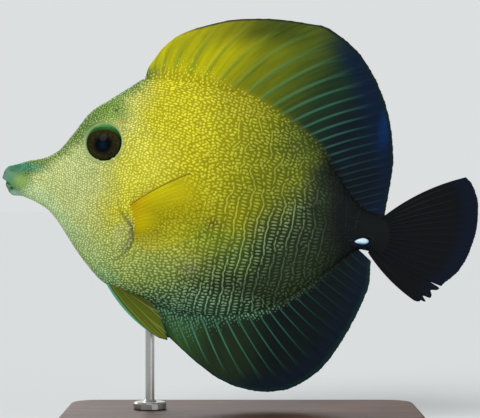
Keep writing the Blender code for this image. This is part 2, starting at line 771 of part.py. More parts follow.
def main():
    for obj in list(bpy.data.objects):
        bpy.data.objects.remove(obj)
    model = bpy.data.collections.new("scopas_tang")
    bpy.context.scene.collection.children.link(model)
    fish = bpy.data.objects.new("fish", None)
    fish.location = (SNOUT_X, 0, SNOUT_Z)
    fish.rotation_euler = (0, PITCH, 0)
    model.objects.link(fish)

    skin = finish_material("skin", YELLOW, 0.45)
    dark_skin = finish_material("dark_skin", BLUE_BLACK, 0.4)
    fin = finish_material("fin", OLIVE, 0.4)
    dark_fin = finish_material("dark_fin", BLUE_BLACK, 0.35)
    clear_fin = finish_material("clear_fin", YELLOW, 0.35)
    eye = finish_material("eye", (0.02, 0.012, 0.008), 0.08)
    blade = finish_material("blade", (0.62, 0.80, 0.90), 0.25)
    wood = finish_material("stand_wood", (0.045, 0.028, 0.018), 0.35)
    metal = finish_material("stand_metal", (0.55, 0.55, 0.53), 0.3, 1.0)

    nodes = [
        finish(make_head(), skin),
        finish(make_jaw(), skin),
        finish(make_trunk(), skin),
        finish(make_tail_stalk(), dark_skin),
        finish(make_dorsal_fin(), fin),
        finish(make_anal_fin(), dark_fin),
        finish(make_caudal_fin(), dark_fin),
    ]
    for word, side in (("left", LEFT), ("right", RIGHT)):
        nodes += [
            finish(make_gill_cover(f"gill_cover_{word}", side), skin),
            finish(make_pectoral_fin(f"pectoral_fin_{word}", side), clear_fin),
            finish(make_pelvic_fin(f"pelvic_fin_{word}", side), fin),
            finish(eyeball(f"eye_{word}", side), eye),
            finish(scalpel(f"tail_spine_{word}", side), blade),
        ]
    for node in nodes:
        node.parent = fish
    bpy.context.view_layer.update()
    nodes += [finish(make_base(), wood), finish(make_rod(fish), metal)]
    for node in nodes:
        for holder in list(node.users_collection):
            holder.objects.unlink(node)
        model.objects.link(node)


if __name__ == "__main__":
    main()
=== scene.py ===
"""The finished look of a scopas tang, life size, held head up on a plain display stand.

The fish is modelled level in its own frame, in millimetres: the snout tip is the origin, +X runs
to the tail, +Z to the back and +Y to the right flank. A pose then tips it head up and carries
every point into the frame's metres.
"""

from __future__ import annotations

import logging
import math
from dataclasses import dataclass, field
from enum import Enum
from typing import Callable, Sequence

import bmesh
import bpy
import numpy as np
from mathutils import Matrix, Vector

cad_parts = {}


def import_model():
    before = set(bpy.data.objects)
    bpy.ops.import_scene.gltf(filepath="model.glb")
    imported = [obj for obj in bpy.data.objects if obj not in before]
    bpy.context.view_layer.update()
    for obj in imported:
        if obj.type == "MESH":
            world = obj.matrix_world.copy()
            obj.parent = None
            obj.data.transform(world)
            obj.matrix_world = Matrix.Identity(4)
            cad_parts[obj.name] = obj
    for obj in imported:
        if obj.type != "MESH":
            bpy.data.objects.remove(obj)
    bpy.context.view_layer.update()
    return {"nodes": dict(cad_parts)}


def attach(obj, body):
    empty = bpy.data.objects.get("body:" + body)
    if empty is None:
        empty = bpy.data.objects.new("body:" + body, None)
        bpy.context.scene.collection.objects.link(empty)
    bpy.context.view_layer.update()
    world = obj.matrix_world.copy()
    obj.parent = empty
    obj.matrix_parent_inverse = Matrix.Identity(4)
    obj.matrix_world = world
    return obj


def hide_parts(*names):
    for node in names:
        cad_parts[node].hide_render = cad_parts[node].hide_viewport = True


LOG = logging.getLogger("scopas_tang")
MM = 0.001
BODY = "root"
# Where the eye and the tail blade sit in the side view, and the blade's slope
EYE_AT = (31.15, 16.8)
BLADE_AT = (120.6, -2.3)
BLADE_TILT = 0.14

# The length of fish that the baked map covers, and the share of the map left free at each edge
MAP_LENGTH = 140.0
MAP_MARGIN = 0.02

Table = Sequence[Sequence[float]]
Colour = tuple[int, int, int]
Curve = Callable[[np.ndarray], np.ndarray]
Root = Callable[[np.ndarray], tuple[np.ndarray, np.ndarray]]
Shift = Callable[[np.ndarray, np.ndarray, np.ndarray], np.ndarray]
Socket = bpy.types.NodeSocket


class Flank(Enum):
    """The two sides of the fish, with the sign of Y on each."""

    LEFT = -1
    RIGHT = 1

    @property
    def word(self) -> str:
        """The side's name as the nodes spell it."""
        return self.name.lower()


# Shared curves


def through(table: Table, column: int = 1) -> Curve:
    """Makes a smooth curve through a table's rows, which never overshoots them.

    Args:
        table: rows of a key followed by values, with rising keys.
        column: which value of each row the curve follows.

    Returns:
        A function from keys to values.
    """
    keys = np.array([row[0] for row in table], float)
    values = np.array([row[column] for row in table], float)
    steps, slopes = np.diff(keys), np.diff(values) / np.diff(keys)
    tangents = np.concatenate([slopes[:1], np.zeros(len(slopes) - 1), slopes[-1:]])
    same_way = slopes[:-1] * slopes[1:] > 0
    before, after = slopes[:-1][same_way], slopes[1:][same_way]
    tangents[1:-1][same_way] = 2 * before * after / (before + after)

    def value(key: np.ndarray) -> np.ndarray:
        """The curve's value at each key."""
        i = np.clip(np.searchsorted(keys, key, side="right") - 1, 0, len(steps) - 1)
        t = np.clip((key - keys[i]) / steps[i], 0, 1)
        start = (1 + 2 * t) * (1 - t) ** 2 * values[i] + t**2 * (3 - 2 * t) * values[i + 1]
        bend = t * (1 - t) ** 2 * tangents[i] - t**2 * (1 - t) * tangents[i + 1]
        return start + steps[i] * bend

    return value


def smooth_step(t: np.ndarray) -> np.ndarray:
    """Eases from 0 to 1 as t goes from 0 to 1."""
    t = np.clip(t, 0, 1)
    return t * t * (3 - 2 * t)


def bell(distance: np.ndarray, width: float) -> np.ndarray:
    """A soft bump, 1 at no distance and near 0 past twice the width."""
    return np.exp(-((distance / width) ** 2))


def between(ends: Sequence[float], share: np.ndarray) -> np.ndarray:
    """The number that lies a share of the way from the first end to the second."""
    return ends[0] + (ends[1] - ends[0]) * share


def unit(vectors: np.ndarray) -> np.ndarray:
    """The vectors at length 1."""
    return vectors / np.maximum(np.linalg.norm(vectors, axis=-1, keepdims=True), 1e-9)


def linear(colour: Colour) -> tuple[float, float, float, float]:
    """A colour as seen, in steps of 255, as the shader's linear colour.

    Args:
        colour: its red, green and blue.

    Returns:
        The four numbers that a socket takes.
    """
    share = np.array(colour, float) / 255
    light = np.where(share <= 0.04045, share / 12.92, ((share + 0.055) / 1.055) ** 2.4)
    return (*(float(v) for v in light), 1.0)


# The pose


@dataclass(frozen=True)
class Pose:
    """How the level fish is tipped and lifted over its stand."""

    pitch: float = math.radians(9.0)
    snout: tuple[float, float, float] = (-79.0 * MM, 0.0, 84.0 * MM)

    def matrix(self) -> Matrix:
        """The fish frame's place in the frame, without its scale."""
        return Matrix.Translation(self.snout) @ Matrix.Rotation(self.pitch, 4, "Y")

    def place(self, points: np.ndarray) -> np.ndarray:
        """Carries points from the fish frame, in millimetres, to the frame's metres."""
        turn = np.array(self.matrix().to_3x3())
        return (points * MM) @ turn.T + np.array(self.snout)

    def turn(self, directions: np.ndarray) -> np.ndarray:
        """Turns directions from the fish frame into the frame."""
        return directions @ np.array(self.matrix().to_3x3()).T


POSE = Pose()


# The body


@dataclass(frozen=True)
class BodyShape:
    """The outline and sections of the fish's body, as its solids have them."""

    back: Table = (
        (0, 3.7), (3, 5.2), (7, 7.0), (12, 8.9), (16, 11.8), (20, 18.0), (25, 26.6), (30, 31.0),
        (36, 36.2), (41, 40.1), (50, 41.2), (60, 41.4), (70, 40.7), (80, 38.0), (92, 32.5),
        (101, 27.2), (109, 19.3), (116, 11.6), (121, 8.4), (127, 7.2),
    )
    belly: Table = (
        (0, -3.3), (1.6, -4.7), (3.6, -5.4), (6.5, -5.2), (9, -5.7), (15, -7.9), (19, -11.0),
        (24, -16.6), (30, -23.0), (38, -29.4), (45, -31.9), (54, -33.9), (65, -35.6), (76, -34.9),
        (86, -32.5), (95, -28.2), (104, -20.9), (112, -12.9), (116, -8.7), (119, -5.9),
        (121, -5.1), (123.5, -5.2), (127, -6.2),
    )
    widest: Table = ((0, 0.2), (15, 1.2), (31, 3.5), (60, 3.0), (95, 1.2), (127, 0.0))
    half_width: Table = (
        (0, 2.1), (4, 2.8), (10, 3.8), (18, 5.4), (25, 7.0), (32, 8.6), (42, 10.2), (52, 11.0),
        (63, 11.2), (76, 10.5), (90, 8.6), (103, 6.0), (112, 4.2), (120, 2.9), (127, 1.5),
        (129, 0.9), (131, 0.45),
    )
    back_edge: Table = (
        (0, 0.9), (14, 1.0), (30, 1.15), (44, 1.4), (90, 1.5), (110, 1.3), (127, 1.0),
    )
    belly_edge: Table = (
        (0, 0.9), (14, 1.0), (34, 1.1), (46, 1.15), (62, 1.35), (90, 1.5), (127, 1.0),
    )
    nose_round: float = 1.3
    end: float = 130.6

    def section(self, x: np.ndarray) -> tuple[np.ndarray, ...]:
        """Sizes of the sections at x.

        Args:
            x: distances behind the snout.

        Returns:
            The height of the widest line, the reach up and down from it, the half width, and the
            sharpness of the back and of the belly.
        """
        share = np.sqrt(np.maximum(0, 1 - np.maximum(0, 1 - x / self.nose_round) ** 2))
        middle = through(self.widest)(x)
        up = (through(self.back)(x) - middle) * share
        down = (middle - through(self.belly)(x)) * share
        half = through(self.half_width)(x) * share
        return middle, up, down, half, through(self.back_edge)(x), through(self.belly_edge)(x)

    def points(self, x: np.ndarray, angle: np.ndarray) -> np.ndarray:
        """Points of the plain body: angle 0 is its right flank and a quarter turn its back.

        Args:
            x: distances behind the snout.
            angle: angles round the body.

        Returns:
            A point for each.
        """
        middle, up, down, half, back_edge, belly_edge = self.section(x)
        upper = np.sin(angle) > 0
        reach, edge = np.where(upper, up, down), np.where(upper, back_edge, belly_edge)
        flank = half * np.abs(np.cos(angle)) ** edge * np.sign(np.cos(angle))
        return np.stack([np.broadcast_to(x, flank.shape), flank, middle + reach * np.sin(angle)], -1)

    def flank_width(self, x: np.ndarray, z: np.ndarray) -> np.ndarray:
        """Half the body's width at places of its side view, 0 outside its outline.

        Args:
            x: distances behind the snout.
            z: heights above it.

        Returns:
            The width at each.
        """
        middle, up, down, half, back_edge, belly_edge = self.section(x)
        upper = z > middle
        reach, edge = np.where(upper, up, down), np.where(upper, back_edge, belly_edge)
        height = np.clip(np.abs(z - middle) / np.maximum(reach, 1e-6), 0, 1)
        return half * (1 - height**2) ** (edge / 2)

    def skin_point(self, flank: Flank, place: Sequence[float]) -> np.ndarray:
        """The point of a flank's plain skin at a place of the side view."""
        x, z = place
        return np.array((x, flank.value * float(self.flank_width(np.array(x), np.array(z))), z))


@dataclass(frozen=True)
class Relief:
    """What stands out of the plain body and what is sunk in it, in the side view."""

    eye: tuple[float, float] = EYE_AT
    orbit: float = 6.5
    orbit_lift: float = 0.55
    brow: float = 8.6
    socket: float = 6.15
    socket_depth: float = 3.2
    mouth_corner: float = 2.7
    mouth_height: float = -0.95
    mouth_slope: float = -0.7
    lip_size: float = 0.3
    overbite: Table = (
        (-6, 1.0), (-4, 0.9), (-2.6, 0.5), (-1.3, 0.5), (0.1, -0.7), (2, -0.9), (4, -0.7),
        (6, -0.4),
    )
    overbite_end: float = 4.4
    nostrils: Table = ((22.6, 15.2, 0.26), (23.9, 17.5, 0.32))
    gill_line: Table = (
        (-45, 30), (-29, 33), (-24, 38.0), (-20, 41.9), (-16.2, 44.8), (-13, 45.8), (-10.4, 45.0),
        (-8, 43.2), (-5, 40.4), (-2, 39.0), (3, 38.5), (9, 38.2), (20, 38.3), (32, 37.4), (48, 34),
    )
    gill_span: tuple[float, float] = (-24.0, 0.5)
    gill_lift: float = 0.45
    gill_groove: float = 0.5
    scalpel: tuple[float, float] = BLADE_AT
    arm_pit: tuple[float, float] = (44.2, -8.6)

    def lift(self, x: np.ndarray, z: np.ndarray) -> np.ndarray:
        """How far the skin stands out of the plain body at places of the side view.

        Args:
            x: distances behind the snout.
            z: heights above it.

        Returns:
            The lift at each.
        """
        arm = bell(np.hypot(x - self.arm_pit[0], (z - self.arm_pit[1]) / 2), 2.2)
        forms = (self.orbits, self.mouth, self.nose, self.gills, self.sheath)
        return sum(form(x, z) for form in forms) + 0.35 * arm

    def from_eye(self, x: np.ndarray, z: np.ndarray) -> np.ndarray:
        """How far places are from the eye's middle."""
        return np.hypot(x - self.eye[0], z - self.eye[1])

    def over_mouth(self, x: np.ndarray, z: np.ndarray) -> np.ndarray:
        """How far places are above the slit of the mouth."""
        return z - self.mouth_height - self.mouth_slope * x

    def orbits(self, x: np.ndarray, z: np.ndarray) -> np.ndarray:
        """The ring of skin round the eye, and the socket that the eyeball fills.

        Args:
            x: distances behind the snout.
            z: heights above it.

        Returns:
            Their lift at each place.
        """
        away = self.from_eye(x, z)
        ring = self.orbit_lift * bell(away - self.orbit, 0.6) + 0.2 * bell(away - self.brow, 1.3)
        return ring - self.socket_depth * smooth_step((self.socket - away) / 0.8)

    def mouth(self, x: np.ndarray, z: np.ndarray) -> np.ndarray:
        """The slit of the mouth between two fleshy lips.

        Args:
            x: distances behind the snout.
            z: heights above it.

        Returns:
            Its lift at each place.
        """
        off = self.over_mouth(x, z)
        fade = smooth_step((self.mouth_corner + 0.6 - x) / 1.6)
        lips = bell(off - 0.95, 0.7) + bell(off + 0.9, 0.6)
        crease = 0.12 * bell(off - 2.3, 0.25) * smooth_step((x - 0.6) / 1.0)
        return fade * (self.lip_size * lips - 0.75 * bell(off, 0.26) - crease)

    def jut(self, x: np.ndarray, z: np.ndarray) -> np.ndarray:
        """How far the snout's front is moved back: the upper lip juts out over the lower jaw."""
        share = (self.overbite_end - x) / self.overbite_end
        return through(self.overbite)(z) * smooth_step(share)

    def nose(self, x: np.ndarray, z: np.ndarray) -> np.ndarray:
        """The two nostrils, each a pit with a low rim.

        Args:
            x: distances behind the snout.
            z: heights above it.

        Returns:
            Their lift at each place.
        """
        total = np.zeros(np.broadcast(x, z).shape)
        for at_x, at_z, radius in self.nostrils:
            away = np.hypot(x - at_x, z - at_z)
            total += 0.16 * bell(away - radius * 1.5, radius * 0.5) - 0.7 * bell(away, radius * 0.8)
        return total

    def gills(self, x: np.ndarray, z: np.ndarray) -> np.ndarray:
        """The gill cover, proud of the groove behind its free edge.

        Args:
            x: distances behind the snout.
            z: heights above it.

        Returns:
            Its lift at each place.
        """
        low, high = self.gill_span
        span = smooth_step((z - low) / 11) * smooth_step((high - z) / 6)
        ahead = through(self.gill_line)(z) - x
        cover = self.gill_lift * smooth_step(1 - ahead / 9.0)
        groove = -self.gill_groove * bell(ahead, 0.9)
        inner = -0.12 * bell(ahead - 8.3, 0.7) * span
        return span * np.where(ahead > 0, cover, groove) + inner

    def sheath(self, x: np.ndarray, z: np.ndarray) -> np.ndarray:
        """The groove that the folded tail spine lies in.

        Args:
            x: distances behind the snout.
            z: heights above it.

        Returns:
            Its lift at each place.
        """
        across = x - self.scalpel[0]
        away = np.hypot(across / 2.8, (z - self.scalpel[1] - BLADE_TILT * across) / 1.5)
        return 0.2 * bell(away - 1.25, 0.25) - 0.45 * smooth_step((1.05 - away) / 0.3)


# Making meshes


def show(name: str, data: bpy.types.ID) -> bpy.types.Object:
    """Puts a new object into the scene.

    Args:
        name: its name.
        data: its mesh, lamp or camera.

    Returns:
        The object.
    """
    obj = bpy.data.objects.new(name, data)
    bpy.context.scene.collection.objects.link(obj)
    return obj


def piece(name: str, verts: np.ndarray, faces: Sequence[Sequence[int]]) -> bpy.types.Object:
    """A new mesh object whose points are already in the frame's metres.

    Args:
        name: its name.
        verts: its points.
        faces: the points of each face.

    Returns:
        The object.
    """
    mesh = bpy.data.meshes.new(name)
    mesh.from_pydata(verts.tolist(), [], [tuple(int(v) for v in f) for f in faces])
    mesh.update()
    return show(name, mesh)


def grid_faces(rows: int, columns: int, closed: bool) -> np.ndarray:
    """Quads of a grid of points, numbered row by row.

    Args:
        rows: how many rows of points.
        columns: how many points in a row.
        closed: whether each row's last point joins its first.

    Returns:
        One row of four point numbers for each quad.
    """
    span = columns if closed else columns - 1
    row, column = np.meshgrid(np.arange(rows - 1), np.arange(span), indexing="ij")
    after = (column + 1) % columns
    a, b = row * columns + column, row * columns + after
    return np.stack([a, b, b + columns, a + columns], -1).reshape(-1, 4)


def face_outwards(obj: bpy.types.Object) -> None:
    """Turns a closed mesh's faces outwards.

    Args:
        obj: the mesh object.
    """
    mesh = bmesh.new()
    mesh.from_mesh(obj.data)
    bmesh.ops.recalc_face_normals(mesh, faces=mesh.faces)
    if mesh.calc_volume(signed=True) < 0:
        bmesh.ops.reverse_faces(mesh, faces=mesh.faces)
    mesh.to_mesh(obj.data)
    mesh.free()


def closed_piece(
    name: str, grid: np.ndarray, nose: Sequence[float] = (0.0, 0.0, 0.0),
) -> bpy.types.Object:
    """A closed mesh object from rings of points in the fish frame, a point closing each end.

    Args:
        name: the object's name.
        grid: the rings, a row of points each.
        nose: how far the first end's point stands off the middle of its ring.

    Returns:
        The object, its faces outwards.
    """
    rows, columns = grid.shape[:2]
    verts = np.concatenate([grid.reshape(-1, 3), [grid[0].mean(0) + nose, grid[-1].mean(0)]])
    first, last, base = rows * columns, rows * columns + 1, (rows - 1) * columns
    faces = [tuple(q) for q in grid_faces(rows, columns, True)]
    for k in range(columns):
        after = (k + 1) % columns
        faces += [(first, after, k), (last, base + k, base + after)]
    obj = piece(name, POSE.place(verts), faces)
    face_outwards(obj)
    return obj


def ball_angles(rows: int, columns: int, cap: float) -> list[np.ndarray]:
    """Angles of a ball's grid: from its pole, leaving a small cap at each end, and round it.

    Args:
        rows: how many angles there are between the poles.
        columns: how many there are round.
        cap: the angle of each cap.

    Returns:
        The two angles of each point.
    """
    polar = np.linspace(cap, np.pi - cap, rows)
    around = np.linspace(0, 2 * np.pi, columns, endpoint=False)
    return np.meshgrid(polar, around, indexing="ij")


def keep_values(obj: bpy.types.Object, name: str, values: np.ndarray) -> None:
    """Stores a number or three for each of the mesh's points, under a name that nodes can read.

    Args:
        obj: the mesh object.
        name: the name.
        values: a row or a number for each point.
    """
    kind, part = ("FLOAT", "value") if values.ndim == 1 else ("FLOAT_VECTOR", "vector")
    layer = obj.data.attributes.new(name, kind, "POINT")
    layer.data.foreach_set(part, values.astype(np.float32).ravel())


def kept_values(mesh: bpy.types.Mesh, name: str) -> np.ndarray:
    """Reads back what is stored for each of a mesh's points, a row for each.

    Args:
        mesh: the mesh.
        name: the name that they are stored under.

    Returns:
        The rows.
    """
    layer = mesh.attributes[name]
    part, width = ("value", 1) if layer.data_type == "FLOAT" else ("vector", 3)
    values = np.empty(len(mesh.vertices) * width, np.float32)
    layer.data.foreach_get(part, values)
    return values.reshape(-1, width)


def map_place(x: np.ndarray, angle: np.ndarray) -> np.ndarray:
    """The places on the unrolled skin of distances behind the snout and angles round the body."""
    return np.stack([x / MAP_LENGTH, (angle % (2 * np.pi)) / (2 * np.pi)], -1)


def inset(places: np.ndarray) -> np.ndarray:
    """Places of the unrolled skin on the baked map, inside its margin."""
    return places * (1 - 2 * MAP_MARGIN) + MAP_MARGIN


def bake_map(obj: bpy.types.Object, places: np.ndarray) -> None:
    """Gives the mesh the map that its finish is baked by: one place for each point.

    Args:
        obj: the mesh object.
        places: the places on the map.
    """
    loops = np.empty(len(obj.data.loops), np.int32)
    obj.data.loops.foreach_get("vertex_index", loops)
    layer = obj.data.uv_layers.new(name="OFBake")
    layer.data.foreach_set("uv", places[loops].astype(np.float32).ravel())


def dress(obj: bpy.types.Object, material: bpy.types.Material, slot: str, *nodes: str) -> None:
    """Finishes a piece.

    Args:
        obj: the piece.
        material: its finish.
        slot: not used.
        nodes: the frame's nodes that it stands for.
    """
    obj.data.materials.clear()
    obj.data.materials.append(material)
    obj.data.shade_smooth()
    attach(obj, BODY)
    if nodes:
        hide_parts(*nodes)
    triangles = sum(len(p.vertices) - 2 for p in obj.data.polygons)
    LOG.info("%s: %d triangles", obj.name, triangles)


# Writing shader nodes


@dataclass
class Wiring:
    """Writes nodes into one tree, a call for each step of the recipe."""

    tree: bpy.types.NodeTree

    def add(
        self, kind: str, values: dict[str | int, object] | None = None, **settings: object,
    ) -> bpy.types.Node:
        """Adds a node, sets its own properties and fills its inputs.

        Args:
            kind: the node's type.
            values: what its inputs get, by name or number.
            settings: its own properties.

        Returns:
            The node.
        """
        node = self.tree.nodes.new(kind)
        for name, value in settings.items():
            setattr(node, name, value)
        return self.fill(node, values or {})

    def fill(self, node: bpy.types.Node, values: dict[str | int, object]) -> bpy.types.Node:
        """Links a node's inputs, by name or number, to sockets, or sets their values.

        Args:
            node: the node.
            values: the socket or the value that each input gets.

        Returns:
            The node.
        """
        for key, value in values.items():
            if isinstance(value, Socket):
                self.tree.links.new(value, node.inputs[key])
            else:
                node.inputs[key].default_value = value
        return node

    def math(self, operation: str, a: object, b: object = 0.0, c: object = 0.0) -> Socket:
        """One sum on numbers, which are sockets or values."""
        return self.add("ShaderNodeMath", {0: a, 1: b, 2: c}, operation=operation).outputs[0]

    def times(self, a: object, b: object) -> Socket:
        """The product of two numbers."""
        return self.math("MULTIPLY", a, b)

    def line(self, value: object, slope: object, start: object) -> Socket:
        """A number that grows from start by slope for each unit of value."""
        return self.math("MULTIPLY_ADD", value, slope, start)

    def ease(self, value: object, low: float, high: float) -> Socket:
        """0 to 1, eased, as the value goes from low to high.

        Args:
            value: the value.
            low: where the result is 0.
            high: where it is 1.

        Returns:
            The result.
        """
        ends = (0.0, 1.0) if low < high else (1.0, 0.0)
        return self.add("ShaderNodeMapRange", {
            "Value": value, "From Min": min(low, high), "From Max": max(low, high),
            "To Min": ends[0], "To Max": ends[1],
        }, interpolation_type="SMOOTHSTEP").outputs["Result"]

    def blend(self, share: object, a: object, b: object, way: str = "MIX") -> Socket:
        """Mixes two colours."""
        node = self.add("ShaderNodeMix", data_type="RGBA", blend_type=way, clamp_result=True)
        return self.fill(node, {0: share, 6: a, 7: b}).outputs[2]

    def over(self, share: object, under: object, colour: Colour) -> Socket:
        """Lays a share of a colour, as seen, over another."""
        return self.blend(share, under, linear(colour))

    def place(self, posed: bool = True) -> Socket:
        """Object coordinates in millimetres: the fish frame's, or unposed the frame's own.

        Args:
            posed: whether the place is the fish frame's.

        Returns:
            The place.
        """
        values = {"Scale": (MM, MM, MM), "Vector": self.add("ShaderNodeTexCoord").outputs["Object"]}
        if posed:
            values |= {"Location": POSE.snout, "Rotation": (0, POSE.pitch, 0)}
        return self.add("ShaderNodeMapping", values, vector_type="TEXTURE").outputs["Vector"]

    def side_view(self, place: Socket) -> tuple[Socket, Socket]:
        """A place's X and Z."""
        apart = self.add("ShaderNodeSeparateXYZ", {0: place})
        return apart.outputs["X"], apart.outputs["Z"]

    def noise(
        self, place: Socket, scale: float, detail: float, stretch: Sequence[float] = (1, 1, 1),
    ) -> Socket:
        """Writes cloudy noise.

        Args:
            place: the coordinates that it goes by.
            scale: how many of its cells lie in one unit of them.
            detail: how many finer layers it has.
            stretch: what the coordinates are multiplied by first.

        Returns:
            A number between 0 and 1.
        """
        stretched = self.add("ShaderNodeMapping", {"Scale": stretch, "Vector": place})
        values = {"Vector": stretched.outputs["Vector"], "Scale": scale, "Detail": detail}
        return self.add("ShaderNodeTexNoise", values).outputs["Fac"]

    def attribute(self, name: str) -> Socket:
        """A number stored on the mesh."""
        return self.add("ShaderNodeAttribute", attribute_name=name).outputs["Fac"]

    def bump(self, height: Socket, strength: float, depth: float, invert: bool = False) -> Socket:
        """A normal roughened by a height, as deep as the given millimetres."""
        values = {"Strength": strength, "Distance": depth * MM, "Height": height}
        return self.add("ShaderNodeBump", values, invert=invert).outputs["Normal"]


def new_material(name: str) -> tuple[bpy.types.Material, Wiring, bpy.types.Node]:
    """Makes a material with only its Principled shader and output, ready to be wired.

    Args:
        name: its name.

    Returns:
        The material, what writes its nodes, and its Principled shader.
    """
    material = bpy.data.materials.new(name)
    material.use_nodes = True
    return material, Wiring(material.node_tree), material.node_tree.nodes["Principled BSDF"]


def new_group(
    name: str, kind: str, inputs: dict[str, str], outputs: dict[str, str],
) -> tuple[Wiring, bpy.types.Node, bpy.types.Node]:
    """Starts a node group.

    Args:
        name: the group's name.
        kind: its type of tree.
        inputs: the names of its inputs, with the kinds of their sockets.
        outputs: the names of its outputs, likewise.

    Returns:
        What writes its nodes, the node that holds its inputs and the one that takes its outputs.
    """
    wiring = Wiring(bpy.data.node_groups.new(name, kind))
    for way, sockets in (("INPUT", inputs), ("OUTPUT", outputs)):
        for label, sort in sockets.items():
            wiring.tree.interface.new_socket(label, in_out=way, socket_type=f"NodeSocket{sort}")
    return wiring, wiring.add("NodeGroupInput"), wiring.add("NodeGroupOutput")


@dataclass(frozen=True)
class Wash:
    """A colour laid over what is under it, past a slanting line of the side view.

    Its strength eases from none to full as x * along + z * up goes from start to full."""

    colour: Colour
    along: float
    up: float
    start: float
    full: float
    strength: float = 1.0

    def mask(self, wiring: Wiring, x: Socket, z: Socket) -> Socket:
        """How much of the colour covers each place."""
        slant = wiring.line(z, self.up, wiring.times(x, self.along))
        return wiring.times(wiring.ease(slant, self.start, self.full), self.strength)


@dataclass(frozen=True)
class Spot:
    """A colour laid over an oval of the side view, full inside and gone at its edge.

    With a bite, the same oval moved forward by that much is left out, which leaves a crescent."""

    colour: Colour
    centre: tuple[float, float]
    radii: tuple[float, float]
    soft: float = 0.5
    strength: float = 1.0
    bite: float = 0.0

    def oval(self, wiring: Wiring, x: Socket, z: Socket, ahead: float) -> Socket:
        """The oval's mask when it is moved forward by a distance.

        Args:
            wiring: what writes the nodes.
            x: distances behind the snout.
            z: heights above it.
            ahead: the distance.

        Returns:
            1 inside the oval and 0 outside.
        """
        across, up = (
            wiring.math("DIVIDE", wiring.math("SUBTRACT", value, middle), radius)
            for value, middle, radius in (
                (x, self.centre[0] - ahead, self.radii[0]), (z, self.centre[1], self.radii[1]),
            )
        )
        away = wiring.math("SQRT", wiring.line(up, up, wiring.times(across, across)))
        return wiring.ease(away, 1.0, 1.0 - self.soft)

    def mask(self, wiring: Wiring, x: Socket, z: Socket) -> Socket:
        """How much of the colour covers each place.

        Args:
            wiring: what writes the nodes.
            x: distances behind the snout.
            z: heights above it.

        Returns:
            The share of the colour, from 0 to 1.
        """
        share = self.oval(wiring, x, z, 0.0)
        if self.bite:
            left = wiring.math("SUBTRACT", 1.0, self.oval(wiring, x, z, self.bite))
            share = wiring.times(share, left)
        return wiring.times(share, self.strength)


@dataclass(frozen=True)
class Rim:
    """A colour along a fin's edge: full at the edge, and gone the given distance inside it.

    It grows in as x * along + z * up goes from start to full."""

    colour: Colour
    depth: float
    along: float = 1.0
    up: float = 0.0
    start: float = -2.0
    full: float = -1.0
    strength: float = 1.0

    def mask(self, wiring: Wiring, x: Socket, z: Socket) -> Socket:
        """How much of the colour covers each place.

        Args:
            wiring: what writes the nodes.
            x: distances behind the snout.
            z: heights above it.

        Returns:
            The share of the colour, from 0 to 1.
        """
        rim = wiring.ease(wiring.attribute("edge"), self.depth, 0.35 * self.depth)
        where = Wash(self.colour, self.along, self.up, self.start, self.full, self.strength)
        return wiring.times(rim, where.mask(wiring, x, z))


@dataclass(frozen=True)
class Band:
    """A colour laid where one of a mesh's stored numbers goes from start to full."""

    colour: Colour
    name: str
    start: float
    full: float
    strength: float = 1.0

    def mask(self, wiring: Wiring, x: Socket, z: Socket) -> Socket:
        """How much of the colour covers each place."""
        share = wiring.ease(wiring.attribute(self.name), self.start, self.full)
        return wiring.times(share, self.strength)


@dataclass(frozen=True)
class Paint:
    """A first colour and the washes laid over it, in order."""

    first: Colour
    washes: tuple[Wash | Spot | Rim | Band, ...] = ()

    def write(self, wiring: Wiring, x: Socket, z: Socket, border: Socket | None = None) -> Socket:
        """Writes the paint's nodes.

        Args:
            wiring: what writes them.
            x: the distance behind the snout.
            z: the height above it.
            border: the x that the slanting washes go by, where their borders wander.

        Returns:
            The colour.
        """
        colour: object = linear(self.first)
        for wash in self.washes:
            across = border if border and isinstance(wash, Wash) else x
            colour = wiring.over(wash.mask(wiring, across, z), colour, wash.colour)
        return colour


# The fish's markings


class Layer(Enum):
    """The two colours of each region of the flank, by their place in its row."""

    GROUND = 0
    MARKS = 1


